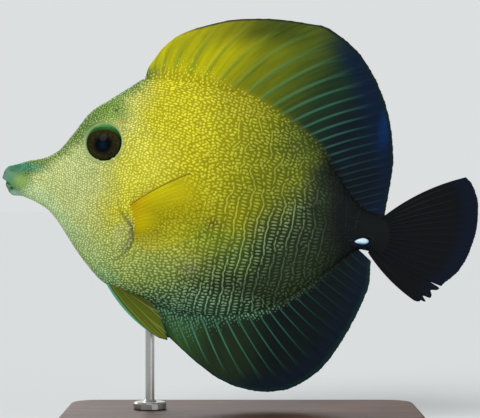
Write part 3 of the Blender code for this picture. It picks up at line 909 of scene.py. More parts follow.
# Rows of a shape, the ground's colour, the marks' colour and the shape's numbers. A region that
# the ground and the marks have in different places or strengths has a row for each.
REGIONS: tuple[tuple[type, Colour | None, Colour | None, tuple], ...] = (
    (Wash, (164, 174, 106), (224, 234, 156), (-1, 0.1, -46, -24)),
    (Wash, (164, 198, 142), (220, 246, 194), (-0.65, -0.76, -11.0, -4.0, 0.65)),
    (Wash, (66, 98, 36), None, (-0.76, 0.65, -10.0, -4.0, 0.92)),
    (Wash, None, (134, 164, 84), (-0.76, 0.65, -9.5, -4.0, 0.9)),
    (Wash, (114, 140, 74), (184, 210, 128), (0, -1, 4, 24, 0.8)),
    (Wash, (94, 102, 4), (150, 158, 50), (1, 0, 56, 92)),
    (Wash, (62, 84, 28), None, (0.45, -0.9, 39, 55, 0.85)),
    (Wash, None, (150, 176, 102), (0.45, -0.9, 39, 55, 0.9)),
    (Wash, (28, 44, 24), (118, 142, 100), (0.75, -0.66, 59, 73, 0.92)),
    # Darker blue-green under the belly: partly its own colour and partly painted shade on the underside
    (Wash, (20, 60, 46), None, (0, -1, 26, 34, 0.6)),
    (Wash, (28, 42, 23), None, (1, 0.1, 96, 110)),
    (Wash, (8, 13, 14), None, (1, 0.2, 102, 115)),
    (Wash, None, (60, 74, 54), (0.75, -0.66, 70, 82, 0.9)),
    # The belly's marks turn darker mint below: partly their own colour and partly painted shade on the
    # underside
    (Wash, None, (86, 150, 122), (0, -1, 27, 34, 0.6)),
    (Wash, None, (56, 68, 44), (1, 0.1, 95, 109)),
    (Wash, None, (13, 19, 18), (1, 0.2, 101, 115)),
    (Spot, (196, 190, 36), (246, 244, 110), ((47.0, 10.0), (15.0, 19.0), 0.9, 0.75)),
    (Spot, (92, 120, 26), None, ((69.0, -8.5), (21.0, 8.5), 0.9, 0.6)),
    (Spot, None, (150, 182, 74), ((69.0, -8.5), (21.0, 8.5), 0.9, 0.55)),
    (Spot, (134, 128, 20), (196, 188, 50), ((73.0, 37.0), (18.0, 9.0), 0.9, 0.5)),
    (Spot, (150, 166, 98), (214, 226, 150), ((35.0, -18.0), (12.0, 9.0), 0.9, 0.45)),
    (Spot, (60, 88, 56), None, ((68.0, -31.0), (30.0, 7.0), 0.9, 0.55)),
    (Spot, None, (150, 188, 146), ((74.0, -30.0), (32.0, 7.0), 0.9, 0.7)),
    (Spot, (88, 140, 98), (150, 204, 150), ((37.0, -28.5), (9.0, 7.0), 0.9, 0.5)),
    (Spot, (56, 70, 26), None, ((95.0, 27.0), (13.0, 17.0), 0.9, 0.66)),
    (Spot, None, (104, 120, 48), ((97.0, 28.5), (12.0, 17.0), 0.9, 0.75)),
    (Spot, (24, 34, 22), (76, 90, 66), ((102.0, -4.0), (9.0, 9.0), 0.9, 0.5)),
    (Spot, (72, 96, 34), (152, 178, 92), ((80.0, -15.0), (10.0, 7.0), 0.9, 0.5)),
    (Spot, (84, 120, 30), (142, 176, 88), ((32.0, 27.5), (9.5, 6.5), 0.8, 0.8)),
    (Spot, (98, 144, 106), None, ((1.0, 0.0), (8.5, 6.5), 0.8, 0.9)),
    (Spot, None, (248, 246, 120), ((42.0, 19.0), (7.0, 9.0), 0.9, 0.5)),
    (Spot, None, (142, 188, 132), ((1.0, 0.0), (8.5, 6.5), 0.8, 0.85)),
    (Spot, (42, 116, 88), (110, 172, 128), ((3.5, 4.9), (13.0, 2.8), 0.9)),
    (Spot, (148, 176, 80), None, ((6.0, -0.2), (4.2, 3.0), 0.9, 0.8)),
    # Pale bluish patch on the lower lip: a painted highlight on the lip
    (Spot, (150, 194, 176), None, ((4.3, -4.5), (3.2, 1.5), 0.85, 0.8)),
    # Dark teal line on the snout: painted shade in its fold
    (Spot, (28, 88, 72), None, ((2.2, 2.9), (2.0, 0.6), 0.8, 0.7)),
    (Spot, (92, 134, 116), None, ((0.2, 1.2), (1.8, 4.2), 0.6, 0.85)),
    # Dark patches at the mouth's corner and along its slit: painted shade in the mouth's gap
    (Spot, (18, 50, 46), None, ((3.0, -2.9), (0.8, 0.65), 0.7, 0.95)),
    (Spot, (22, 54, 50), None, ((0.9, -1.5), (1.2, 0.6), 0.8, 0.9)),
    # Pale oval at the gill cover's rear edge: partly its pale membrane and partly painted light on the
    # raised cover
    (Spot, (160, 172, 112), None, ((41.6, -12.0), (4.4, 6.2), 0.8, 0.4)),
    (Spot, None, (212, 222, 160), ((41.6, -12.0), (4.4, 6.2), 0.8, 0.5)),
    # Bitten oval that leaves a crescent just behind the gill cover's edge: painted shadow of the cover
    (Spot, (104, 108, 80), (160, 164, 124), ((41.5, -12.0), (5.4, 7.6), 0.4, 0.7, 1.8)),
    (Spot, (168, 206, 140), (186, 216, 150), ((31.15, 16.8), (6.9, 6.9), 0.14, 0.85)),
    (Spot, (54, 74, 44), (60, 80, 48), ((33.4, 27.9), (0.9, 0.7), 0.7, 0.8)),
    (Spot, (168, 130, 30), (206, 172, 60), ((36.0, 24.3), (2.4, 1.5), 0.9, 0.4)),
    (Spot, (96, 66, 24), None, ((70.5, -4.4), (6.0, 2.8), 0.9, 0.5)),
    (Spot, (120, 116, 88), (168, 164, 132), ((65.6, -20.0), (4.5, 4.0), 0.9, 0.35)),
    # Navy round the tail blade's groove: painted shadow of the blade on the skin
    (Spot, (8, 22, 46), (20, 40, 66), ((120.6, -2.8), (3.9, 2.4), 0.7, 0.8)),
)


def regions_paint(layer: Layer, first: Colour) -> Paint:
    """The paint of one layer of the regions, over its first colour.

    Args:
        layer: the layer.
        first: its first colour.

    Returns:
        The paint.
    """
    return Paint(first, tuple(
        kind(colours[layer.value], *shape)
        for kind, *colours, shape in REGIONS if colours[layer.value]
    ))


GROUND = regions_paint(Layer.GROUND, (166, 160, 2))
MARKS = regions_paint(Layer.MARKS, (232, 224, 52))


def skin_group() -> bpy.types.NodeTree:
    """What skin and scales share: their colours, their moist patches and their sandy grain.

    Returns:
        A group from a place in the fish frame to the ground's and the marks' colours, the patches
        and the grain.
    """
    wiring, start, end = new_group(
        "tang skin", "ShaderNodeTree", {"Place": "Vector"},
        {"Ground": "Color", "Marks": "Color", "Patches": "Float", "Grain": "Float"},
    )
    place = start.outputs["Place"]
    x, z = wiring.side_view(place)
    border = wiring.math("ADD", x, wiring.line(wiring.noise(place, 0.12, 3), 9.0, -4.5))
    shade = wiring.line(wiring.noise(place, 0.35, 4), 0.5, 0.76)
    tone = wiring.add("ShaderNodeCombineColor", {0: shade, 1: shade, 2: shade}).outputs[0]
    grain = wiring.add("ShaderNodeTexVoronoi", {"Vector": place, "Scale": 2.6}, feature="F1")
    ground, marks = (
        wiring.blend(1.0, paint.write(wiring, x, z, border), tone, "MULTIPLY")
        for paint in (GROUND, MARKS)
    )
    wiring.fill(end, {
        "Ground": ground, "Marks": marks, "Patches": wiring.noise(place, 0.5, 3),
        "Grain": grain.outputs["Distance"],
    })
    return wiring.tree


@dataclass(frozen=True)
class SkinFinish:
    """The moist skin between the scales, or with marks the pale scales on it."""

    name: str
    marked: bool
    roughness: tuple[float, float] = (0.42, 0.56)

    def build(self, group: bpy.types.NodeTree) -> bpy.types.Material:
        """Makes the material.

        Args:
            group: what skin and scales share.

        Returns:
            The finished material.
        """
        material, wiring, shader = new_material(self.name)
        shared = wiring.add("ShaderNodeGroup", {"Place": wiring.place()}, node_tree=group)
        colour = shared.outputs["Ground"]
        if self.marked:
            colour = wiring.blend(wiring.attribute("mark"), colour, shared.outputs["Marks"])
        low, high = self.roughness
        wiring.fill(shader, {
            "Base Color": colour,
            "Roughness": wiring.line(shared.outputs["Patches"], high - low, low),
            "Normal": wiring.bump(shared.outputs["Grain"], 0.5, 0.06, invert=True),
            "Specular IOR Level": 0.12,
            "Subsurface Weight": 0.05,
            "Subsurface Radius": (1.0 * MM, 0.7 * MM, 0.3 * MM),
            "Subsurface Scale": 1.0,
        })
        return material


# The skin


@dataclass
class Skin:
    """One skin over head, jaw, gill covers, trunk and tail stalk."""

    body: BodyShape
    relief: Relief
    columns: int = 208
    depth: float = 0.12

    def stations(self) -> np.ndarray:
        """Distances behind the snout of the skin's rows, closest where its forms are finest.

        Returns:
            The distances, rising.
        """
        nose = self.body.nose_round * (1 - np.cos(np.radians(np.linspace(4, 90, 16))))
        return np.concatenate([
            nose, np.arange(2.75, 8, 0.2), np.arange(8, 20.5, 0.35), np.arange(20.7, 24.6, 0.16),
            np.arange(24.8, 47, 0.3), np.arange(47.4, 112, 0.62), np.arange(112.4, self.body.end, 0.35),
        ])

    def build(self) -> bpy.types.Object:
        """Makes the skin as one closed mesh with the map that it is baked by.

        Returns:
            The skin.
        """
        turns = np.linspace(0, 2 * np.pi, self.columns, endpoint=False)
        x, angle = np.meshgrid(self.stations(), turns, indexing="ij")
        points = self.body.points(x, angle)
        around = np.roll(points, -1, 1) - np.roll(points, 1, 1)
        normal = unit(np.cross(around, np.gradient(points, axis=0)))
        lift = self.relief.lift(points[..., 0], points[..., 2]) - self.depth
        on_outline = np.abs(np.cos(angle)) < 0.12
        lift = np.where(on_outline, np.maximum(lift, -self.depth), lift)
        points = points + normal * lift[..., None]
        points[..., 0] += self.relief.jut(points[..., 0], points[..., 2])
        obj = closed_piece("tang_skin", points, (-0.02, 0, 0))
        poles = [[MAP_MARGIN / 2, 0.5], [1 - MAP_MARGIN / 2, 0.5]]
        bake_map(obj, np.concatenate([inset(map_place(x, angle)).reshape(-1, 2), poles]))
        return obj


# The scales


@dataclass
class ScaleRoots:
    """Where scales grow, with a row or a number for each scale in every field.

    These are its point, the skin's directions along the fish and outwards, the scale's sizes, its
    turn in the skin, and its place on the unrolled skin with the strength of its mark."""

    at: np.ndarray
    along: np.ndarray
    normal: np.ndarray
    sizes: np.ndarray
    turn: np.ndarray
    places: np.ndarray

    def joined(self, other: ScaleRoots) -> ScaleRoots:
        """These roots and another's together."""
        pairs = ((getattr(self, n), getattr(other, n)) for n in self.__dataclass_fields__)
        return ScaleRoots(*(np.concatenate(pair) for pair in pairs))


@dataclass
class Seeds:
    """The scales of a flank before any join, with a number for each scale in every field.

    These are its distance behind the snout, its height up the flank and its angle, its column, its
    size as a share of the largest scales', a chance from 0 to 1, how near the back it is, how much
    of the tail's pattern it is part of, whether it may form a dash and whether a line, and the
    line's slope."""

    x: np.ndarray
    height: np.ndarray
    angle: np.ndarray
    column: np.ndarray
    grow: np.ndarray
    chance: np.ndarray
    near_back: np.ndarray
    share: np.ndarray
    dashed: np.ndarray
    ruled: np.ndarray
    slope: np.ndarray


@dataclass
class ScaleCoat:
    """The raised pale scales: packed dots and short worms, then dashes between upright lines.

    Scales stand in upright columns. Neighbours join at random into worms. Towards the tail each
    third column's scales grow into a line, and the two between join into short dashes across."""

    body: BodyShape
    relief: Relief
    flank: Flank
    spacing: tuple[float, float] = (0.76, 1.22)
    pitch: tuple[float, float] = (0.76, 1.12)
    columns: tuple[float, float] = (4.6, 118.5)
    height: float = 0.13
    depth: float = 0.13
    level: float = 2.0
    map_radius: float = 0.0015
    lean: float = 0.05
    waves: Table = ((0.65, 0.13, 0.36, 1.0), (0.38, 0.24, -0.74, 2.2), (0.1, -0.3, 1.5, 0.4))
    seed: int = 7

    def patch(self, x: np.ndarray, z: np.ndarray) -> np.ndarray:
        """An uneven number from -1 to 1 that makes the pattern's borders wander."""
        return np.sin(x / 6.3 + 2) * np.cos(z / 7.7 + x / 17)

    def zone(self, x: np.ndarray, z: np.ndarray) -> np.ndarray:
        """0 where scales are dots and worms, and 1 where they are dashes in columns."""
        return smooth_step((x - 0.15 * z + 5 * self.patch(x, z) - 59) / 20)

    def coarseness(self, x: np.ndarray) -> np.ndarray:
        """0 on the snout, where scales are finest, and 1 from the middle of the flank."""
        return smooth_step((np.asarray(x) - 22) / 54)

    def growth(self, x: np.ndarray) -> np.ndarray:
        """The size of scales at distances behind the snout, as a share of the largest scales'."""
        return between(self.spacing, self.coarseness(x)) / self.spacing[1]

    def drift(self, x: np.ndarray, z: np.ndarray) -> tuple[np.ndarray, np.ndarray]:
        """How far the pattern wanders along the flank, most near the back, and how it slants.

        Args:
            x: distances behind the snout.
            z: heights above it.

        Returns:
            The distance and the slope at each place.
        """
        size = 0.4 + 1.0 * smooth_step((z + 2) / 12)
        away, slope = self.lean * np.minimum(z, 0), self.lean * (z < 0)
        for height, along, up, start in self.waves:
            turn = along * x + up * z + start
            away = away + size * height * np.sin(turn)
            slope = slope + size * height * up * np.cos(turn)
        share = self.zone(x, z)
        return share * away, share * slope

    def column(self, x: float, number: int, pitch: float) -> tuple[np.ndarray, np.ndarray]:
        """Places up one column at even steps along the flank's own curve.

        Where scales are dots, each second column is moved up by half a step. Where they are dashes,
        the columns that they join start at one height, which differs from pair to pair.

        Args:
            x: the column's distance behind the snout.
            number: the column's number.
            pitch: the length of a step.

        Returns:
            The places' heights up the curve from its widest line, and their angles.
        """
        half = np.linspace(0, np.pi / 2, 160)
        angles = np.concatenate([-half[::-1], half[1:]])
        curve = self.body.points(np.full(len(angles), x), angles)
        length = np.concatenate([[0], np.cumsum(np.linalg.norm(np.diff(curve, axis=0), axis=1))])
        middle = length[len(half) - 1]
        first = int(-middle / pitch)
        steps = middle + pitch * np.arange(first, first + int(length[-1] / pitch) + 2)
        share = self.zone(np.full(len(steps), x), np.interp(steps, length, curve[:, 2]))
        pair_start, dot_start = (number // 3) * 0.382 % 1, 0.5 * (number % 2)
        steps = steps + pitch * (share * pair_start + (1 - share) * dot_start)
        steps = steps[(steps > 0.3) & (steps < length[-1] - 0.4)]
        return steps - middle, np.interp(steps, length, angles)

    def grid(self) -> tuple[np.ndarray, ...]:
        """The columns' places before any join: x, height up the flank, angle and column.

        Returns:
            The four, with a number for each place.
        """
        rows, number = [], 0
        x, last = self.columns
        while x < last:
            share = float(self.coarseness(x))
            heights, angles = self.column(x, number, between(self.pitch, share))
            rows += [(x, h, a, number) for h, a in zip(heights, angles)]
            x += between(self.spacing, share)
            number += 1
        x, height, angle, number = np.array(rows).T
        return x, height, angle, number.astype(int)

    def height_per_turn(self, x: np.ndarray, z: np.ndarray) -> np.ndarray:
        """How far up the flank a unit of angle goes at places of the side view.

        Args:
            x: distances behind the snout.
            z: heights above it.

        Returns:
            The height at each place.
        """
        middle, up, down, half, _, _ = self.body.section(x)
        reach = np.where(z > middle, up, down)
        share = np.clip(np.abs(z - middle) / np.maximum(reach, 1e-6), 0, 0.98)
        return np.hypot(reach * np.sqrt(1 - share**2), half * share)

    def scattered(self, draw: np.random.Generator) -> Seeds:
        """Sets out the scales before any join, each a little off its column's even steps.

        Args:
            draw: the source of chance.

        Returns:
            The scales.
        """
        x, height, angle, column = self.grid()
        z = self.body.points(x, angle)[:, 2]
        share, chance = self.zone(x, z), draw.random(len(x))
        near_back = smooth_step((z + 2) / 14)
        broken = np.sin(z / 3.4 + 2.3 * (column // 3)) > 0.9 - 1.1 * near_back
        dashed = share * (1 - 0.42 * near_back) > 0.12 + 0.6 * chance
        ruled = dashed & ~broken & (x + 4 * self.patch(x, z) > 74 + 5 * (chance - 0.5))
        stray, slope = self.drift(x, z)
        grow = self.growth(x)
        swirl, loose = (1 - share) * grow, 0.14 - 0.04 * share
        stray = stray + swirl * np.sin(z / 5.3 + x / 11) + grow * draw.normal(0, 1, len(x)) * loose
        climb = swirl * np.sin(x / 4.7 + z / 13) + grow * draw.normal(0, 1, len(x)) * loose
        x, height = x + stray, height + climb
        angle = angle + climb / np.maximum(self.height_per_turn(x, z), 4.0)
        return Seeds(x, height, angle, column, grow, chance, near_back, share, dashed, ruled, slope)

    def cell(self, seeds: Seeds, k: int) -> tuple[int, int]:
        """A scale's column and level, by which its neighbours are found."""
        return seeds.column[k], int(seeds.height[k] // self.level)

    def layout(self) -> np.ndarray:
        """Works out every scale of the flank.

        Returns:
            A row for each scale: x, angle, length, breadth, slant in the side view and tone.
        """
        draw = np.random.default_rng(self.seed + self.flank.value)
        seeds = self.scattered(draw)
        count = len(seeds.x)
        cells: dict[tuple[int, int], list[int]] = {}
        for k in range(count):
            cells.setdefault(self.cell(seeds, k), []).append(k)
        used, rows = np.zeros(count, bool), []
        for k in draw.permutation(count):
            if used[k]:
                continue
            used[k] = True
            size, tone = draw.normal(1, 0.08), draw.uniform(0.66, 1.0)
            if seeds.ruled[k] and seeds.column[k] % 3 == 0:
                broad = 1.95 if seeds.chance[k] < 0.86 else 1.0
                slant, dull = -math.atan(seeds.slope[k]), 1 - 0.28 * seeds.near_back[k]
                rows.append((seeds.x[k], seeds.angle[k], 0.7 * size, broad, slant, dull))
                continue
            mate = self.mate(k, seeds, used, cells, draw)
            if mate is None:
                slant = draw.normal(0, 0.5)
                rows.append((seeds.x[k], seeds.angle[k], 1.16 * size, 1.04 * size, slant, tone))
                continue
            used[mate] = True
            rows.append(self.worm(seeds, k, mate, size, tone, draw))
        return np.array(rows)

    def mate(
        self, k: int, seeds: Seeds, used: np.ndarray, cells: dict, draw: np.random.Generator,
    ) -> int | None:
        """Picks the neighbour that a scale joins.

        Args:
            k: the scale's number.
            seeds: all scales.
            used: which of them are taken.
            cells: their numbers by column and level.
            draw: the source of chance.

        Returns:
            The neighbour's number, or None where the scale stays alone.
        """
        x, height, grow = seeds.x, seeds.height, seeds.grow[k]
        kind, dashed = seeds.column[k] % 3, bool(seeds.dashed[k])
        middle = float(smooth_step(np.array((x[k] - 30) / 25)))
        if draw.random() > (0.8 if dashed and kind else 0.2 + 0.3 * middle):
            return None
        columns = {1: (1,), 2: (-1,)}.get(kind, (0,)) if dashed else (-1, 0, 1)
        column, level = self.cell(seeds, k)
        near = np.array([
            m for step in columns for up in (-1, 0, 1)
            for m in cells.get((column + step, level + up), []) if not used[m] and m != k
        ], int)
        across, up = (x[near] - x[k]) / grow, (height[near] - height[k]) / grow
        away = np.hypot(across, up * (1.5 if dashed and kind else 1 + 0.8 * middle * (not dashed)))
        fit = away < (1.75 if dashed else 1.6)
        if not fit.any():
            return None
        choice = near[fit][np.argsort(away[fit])]
        return int(choice[0] if dashed else choice[draw.integers(0, min(3, len(choice)))])

    def worm(
        self, seeds: Seeds, k: int, mate: int, size: float, tone: float, draw: np.random.Generator,
    ) -> tuple[float, ...]:
        """Joins two scales into a long one.

        Args:
            seeds: all scales.
            k: the first one's number.
            mate: the other's.
            size: how broad the long one is, as a share of its usual breadth.
            tone: the strength of its mark.
            draw: the source of chance.

        Returns:
            Its row of the layout.
        """
        across, up = seeds.x[mate] - seeds.x[k], seeds.height[mate] - seeds.height[k]
        slant = math.atan(up / across) if abs(across) > 1e-6 else math.pi / 2
        length = (math.hypot(across, up) / seeds.grow[k] + 0.98) * draw.uniform(0.8, 1.04)
        return (
            (seeds.x[k] + seeds.x[mate]) / 2, (seeds.angle[k] + seeds.angle[mate]) / 2, length,
            (0.94 - 0.14 * seeds.share[k]) * size, slant + draw.normal(0, 0.08), tone,
        )

    def roots(self) -> ScaleRoots:
        """The flank's scale roots on the body.

        Returns:
            The roots.
        """
        x, angle, long, broad, slant, tone = self.layout().T
        sign, step, turn = self.flank.value, 0.3, 0.02
        angle = np.where(sign > 0, angle, np.pi - angle)
        at = self.body.points(x, angle)
        ahead = self.body.points(np.minimum(x + step, self.body.end), angle)
        behind = self.body.points(np.maximum(x - step, 0.02), angle)
        above, below = (self.body.points(x, angle + side * turn) for side in (1, -1))
        normal = unit(np.cross(above - below, ahead - behind))
        along = unit(ahead - behind)
        lift, lift_ahead, lift_behind = (
            self.relief.lift(p[:, 0], p[:, 2]) for p in (at, ahead, behind)
        )
        slope = (lift_ahead - lift_behind) / (2 * step)
        keep = self.clear(at) & (np.abs(slope) < 0.9)
        points = at + normal * (lift - self.depth)[:, None]
        normal = normal - along * np.clip(slope, -1, 1)[:, None]
        growth = self.growth(x)
        sizes = np.stack([long / 2 * growth, broad / 2 * growth, self.height * growth], -1)
        tone = tone * (0.45 + 0.55 * smooth_step((x - 4) / 7))
        places = np.column_stack([map_place(x, angle), tone])
        return ScaleRoots(*(v[keep] for v in (points, along, normal, sizes, -sign * slant, places)))

    def sheath(self, fin: RayFin, rise: Curve, top: float) -> ScaleRoots:
        """Scale roots on the foot of a fin, which thin out and shrink up its rays.

        Args:
            fin: the fin.
            rise: how high the scales reach along it, in millimetres.
            top: the angle of the body's outline that the fin stands on.

        Returns:
            The roots on this flank's face of the fin.
        """
        draw = np.random.default_rng(self.seed + 20 + self.flank.value)
        shares, rows = np.linspace(0, 1, 400), []
        root_x, root_z = fin.root(shares)
        run = np.concatenate([[0], np.cumsum(np.hypot(np.diff(root_x), np.diff(root_z)))])
        for number, step in enumerate(np.arange(0.6, run[-1] - 0.4, 1.12)):
            u = float(np.interp(step, run, shares))
            reach = float(fin.length(np.array([u]))[0])
            limit = float(rise(np.array(u))) * draw.uniform(0.75, 1.2)
            foot = fin.sink + 0.1 + 0.55 * (number % 2)
            for out in np.arange(foot, fin.sink + limit, 1.1):
                left = 1 - (out - fin.sink) / (1.25 * limit)
                across, up = u + draw.normal(0, 0.002), (out + draw.normal(0, 0.13)) / reach
                rows.append((across, up, max(left, 0.3)))
        u, v, left = np.array(rows).T
        middle, half = fin.face(u, v)
        ray = unit(fin.face(u, v + 0.01)[0] - middle)
        out = np.tile([0.0, self.flank.value, 0.0], (len(u), 1))
        along = np.cross(ray, out)
        along *= np.sign(along[:, :1])
        grow = 0.55 + 0.45 * left
        broad = 0.48 * grow * draw.uniform(0.9, 1.6, len(u))
        sizes = np.stack([0.43 * grow, broad, self.height * left], -1)
        turn = draw.normal(0, 0.25, len(u))
        spots = map_place(middle[:, 0], np.full(len(u), top))
        places = np.column_stack([spots, 0.5 + 0.4 * left])
        at = middle + out * (half - 0.03)[:, None]
        return ScaleRoots(at, along, out, sizes, turn, places)

    def points(self, roots: ScaleRoots) -> bpy.types.Object:
        """A mesh of bare points, each with the slant, size and map place of its scale.

        Args:
            roots: the scales' roots.

        Returns:
            The mesh object.
        """
        normal = unit(roots.normal)
        along = unit(roots.along - normal * (roots.along * normal).sum(1, keepdims=True))
        along, normal = POSE.turn(along), POSE.turn(normal)
        across, spin = np.cross(normal, along), roots.turn[:, None]
        length = along * np.cos(spin) + across * np.sin(spin)
        axes = zip(length, np.cross(normal, length), normal)
        slants = np.array([Matrix(turned).transposed().to_euler() for turned in axes])
        obj = piece(f"scale_roots_{self.flank.word}", POSE.place(roots.at), [])
        keep_values(obj, "slant", slants)
        keep_values(obj, "size", roots.sizes * MM)
        keep_values(obj, "root", roots.places)
        return obj

    def clear(self, at: np.ndarray) -> np.ndarray:
        """Where scales grow: not in the eye, the mouth, the nostrils or the tail spine's groove.

        Args:
            at: points of the skin.

        Returns:
            Whether each of them bears a scale.
        """
        x, z = at[:, 0], at[:, 2]
        relief = self.relief
        eye = relief.from_eye(x, z) > relief.orbit + 0.25
        mouth = (np.abs(relief.over_mouth(x, z)) > 1.5) | (x > relief.mouth_corner + 1.6)
        spine = np.hypot((x - relief.scalpel[0]) / 3.4, (z - relief.scalpel[1]) / 2.2) > 1
        nose = np.ones(len(x), bool)
        for at_x, at_z, radius in relief.nostrils:
            nose &= np.hypot(x - at_x, z - at_z) > radius + 0.3
        return eye & mouth & spine & nose

    def scale_shape(self) -> bpy.types.Object:
        """One low dome of few sides, a unit in radius and height, with its mark's strength.

        Returns:
            The scale.
        """
        sides, rings = 8, ((1.0, -0.3, 0.0), (0.8, 0.6, 1.0))
        turns = np.linspace(0, 2 * np.pi, sides, endpoint=False)
        verts = np.array([
            (r * math.cos(a + 0.4 * n), r * math.sin(a + 0.4 * n), h)
            for n, (r, h, _) in enumerate(rings) for a in turns
        ] + [(0, 0, 1.0)])
        faces = [tuple(q) for q in grid_faces(2, sides, True)]
        faces += [(sides + k, sides + (k + 1) % sides, 2 * sides) for k in range(sides)]
        obj = piece(f"scale_shape_{self.flank.word}", verts, faces)
        keep_values(obj, "mark", np.array([mark for *_, mark in rings for _ in turns] + [1.0]))
        keep_values(obj, "local", verts)
        obj.data.shade_smooth()
        return obj

    def tree(self, shape: bpy.types.Object, material: bpy.types.Material) -> bpy.types.NodeTree:
        """The nodes that set one scale on each root.

        Args:
            shape: the scale that is repeated.
            material: the scales' finish.

        Returns:
            A Geometry Nodes tree with the inputs Relief and Spread.
        """
        wiring, start, end = new_group(
            f"scales {self.flank.word}", "GeometryNodeTree",
            {"Geometry": "Geometry", "Relief": "Float", "Spread": "Float"},
            {"Geometry": "Geometry"},
        )
        slant, size = (
            wiring.add("GeometryNodeInputNamedAttribute", {"Name": name}, data_type="FLOAT_VECTOR")
            for name in ("slant", "size")
        )
        spread, relief = start.outputs["Spread"], start.outputs["Relief"]
        stretch = wiring.add("ShaderNodeCombineXYZ", {0: spread, 1: spread, 2: relief})
        grown = wiring.add(
            "ShaderNodeVectorMath", {0: size.outputs["Attribute"], 1: stretch.outputs[0]},
            operation="MULTIPLY",
        )
        info = wiring.add("GeometryNodeObjectInfo", {"Object": shape})
        rotation = wiring.add("FunctionNodeEulerToRotation", {0: slant.outputs["Attribute"]})
        setting = wiring.add("GeometryNodeInstanceOnPoints", {
            "Points": start.outputs["Geometry"], "Instance": info.outputs["Geometry"],
            "Rotation": rotation.outputs[0], "Scale": grown.outputs[0],
        })
        real = wiring.add("GeometryNodeRealizeInstances", {0: setting.outputs["Instances"]})
        painted = wiring.add(
            "GeometryNodeSetMaterial", {"Geometry": real.outputs[0], "Material": material},
        )
        wiring.fill(end, {"Geometry": painted.outputs["Geometry"]})
        return wiring.tree

    def build(self, roots: ScaleRoots, material: bpy.types.Material) -> bpy.types.Object:
        """Grows the scales and turns them into one plain mesh.

        Args:
            roots: where they grow.
            material: their finish.

        Returns:
            The flank's coat.
        """
        bare, shape = self.points(roots), self.scale_shape()
        grow = bare.modifiers.new("Scales", "NODES")
        grow.node_group = self.tree(shape, material)
        for item in grow.node_group.interface.items_tree:
            if item.in_out == "INPUT" and item.name in ("Relief", "Spread"):
                grow[item.identifier] = 1.0
        bpy.context.view_layer.update()
        graph = bpy.context.evaluated_depsgraph_get()
        mesh = bpy.data.meshes.new_from_object(bare.evaluated_get(graph))
        obj = show(f"tang_scales_{self.flank.word}", mesh)
        for made in (bare, shape):
            bpy.data.objects.remove(made)
        root, local, mark = (kept_values(mesh, name) for name in ("root", "local", "mark"))
        mesh.attributes["mark"].data.foreach_set("value", mark[:, 0] * root[:, 2])
        bake_map(obj, inset(root[:, :2]) + local[:, :2] * self.map_radius)
        return obj


# The fins


def straight(start: Sequence[float], end: Sequence[float]) -> Root:
    """A fin's root that runs straight from one place of the side view to another."""
    return lambda u: (between((start[0], end[0]), u), between((start[1], end[1]), u))


def along_outline(stations: Table, outline: Table, rise: float) -> Root:
    """A fin's root that follows the body's outline.

    Args:
        stations: the root's distances behind the snout, by the share of its length.
        outline: the heights of the back or the belly.
        rise: how far above that outline the root lies.

    Returns:
        The root.
    """
    station, height = through(stations), through(outline)
    return lambda u: (station(u), height(station(u)) + rise)


def off_root(root: Root, u: np.ndarray, place: np.ndarray) -> np.ndarray:
    """How far places of the side view are from the feet of their rays."""
    return np.linalg.norm(place - np.stack(root(u), -1), axis=-1)


def waved(height: float, turns: float, start: float) -> Shift:
    """A fin's slow wave from side to side, widest at its edge."""
    return lambda u, v, place: height * np.sin(2 * np.pi * (turns * u + start)) * v**2


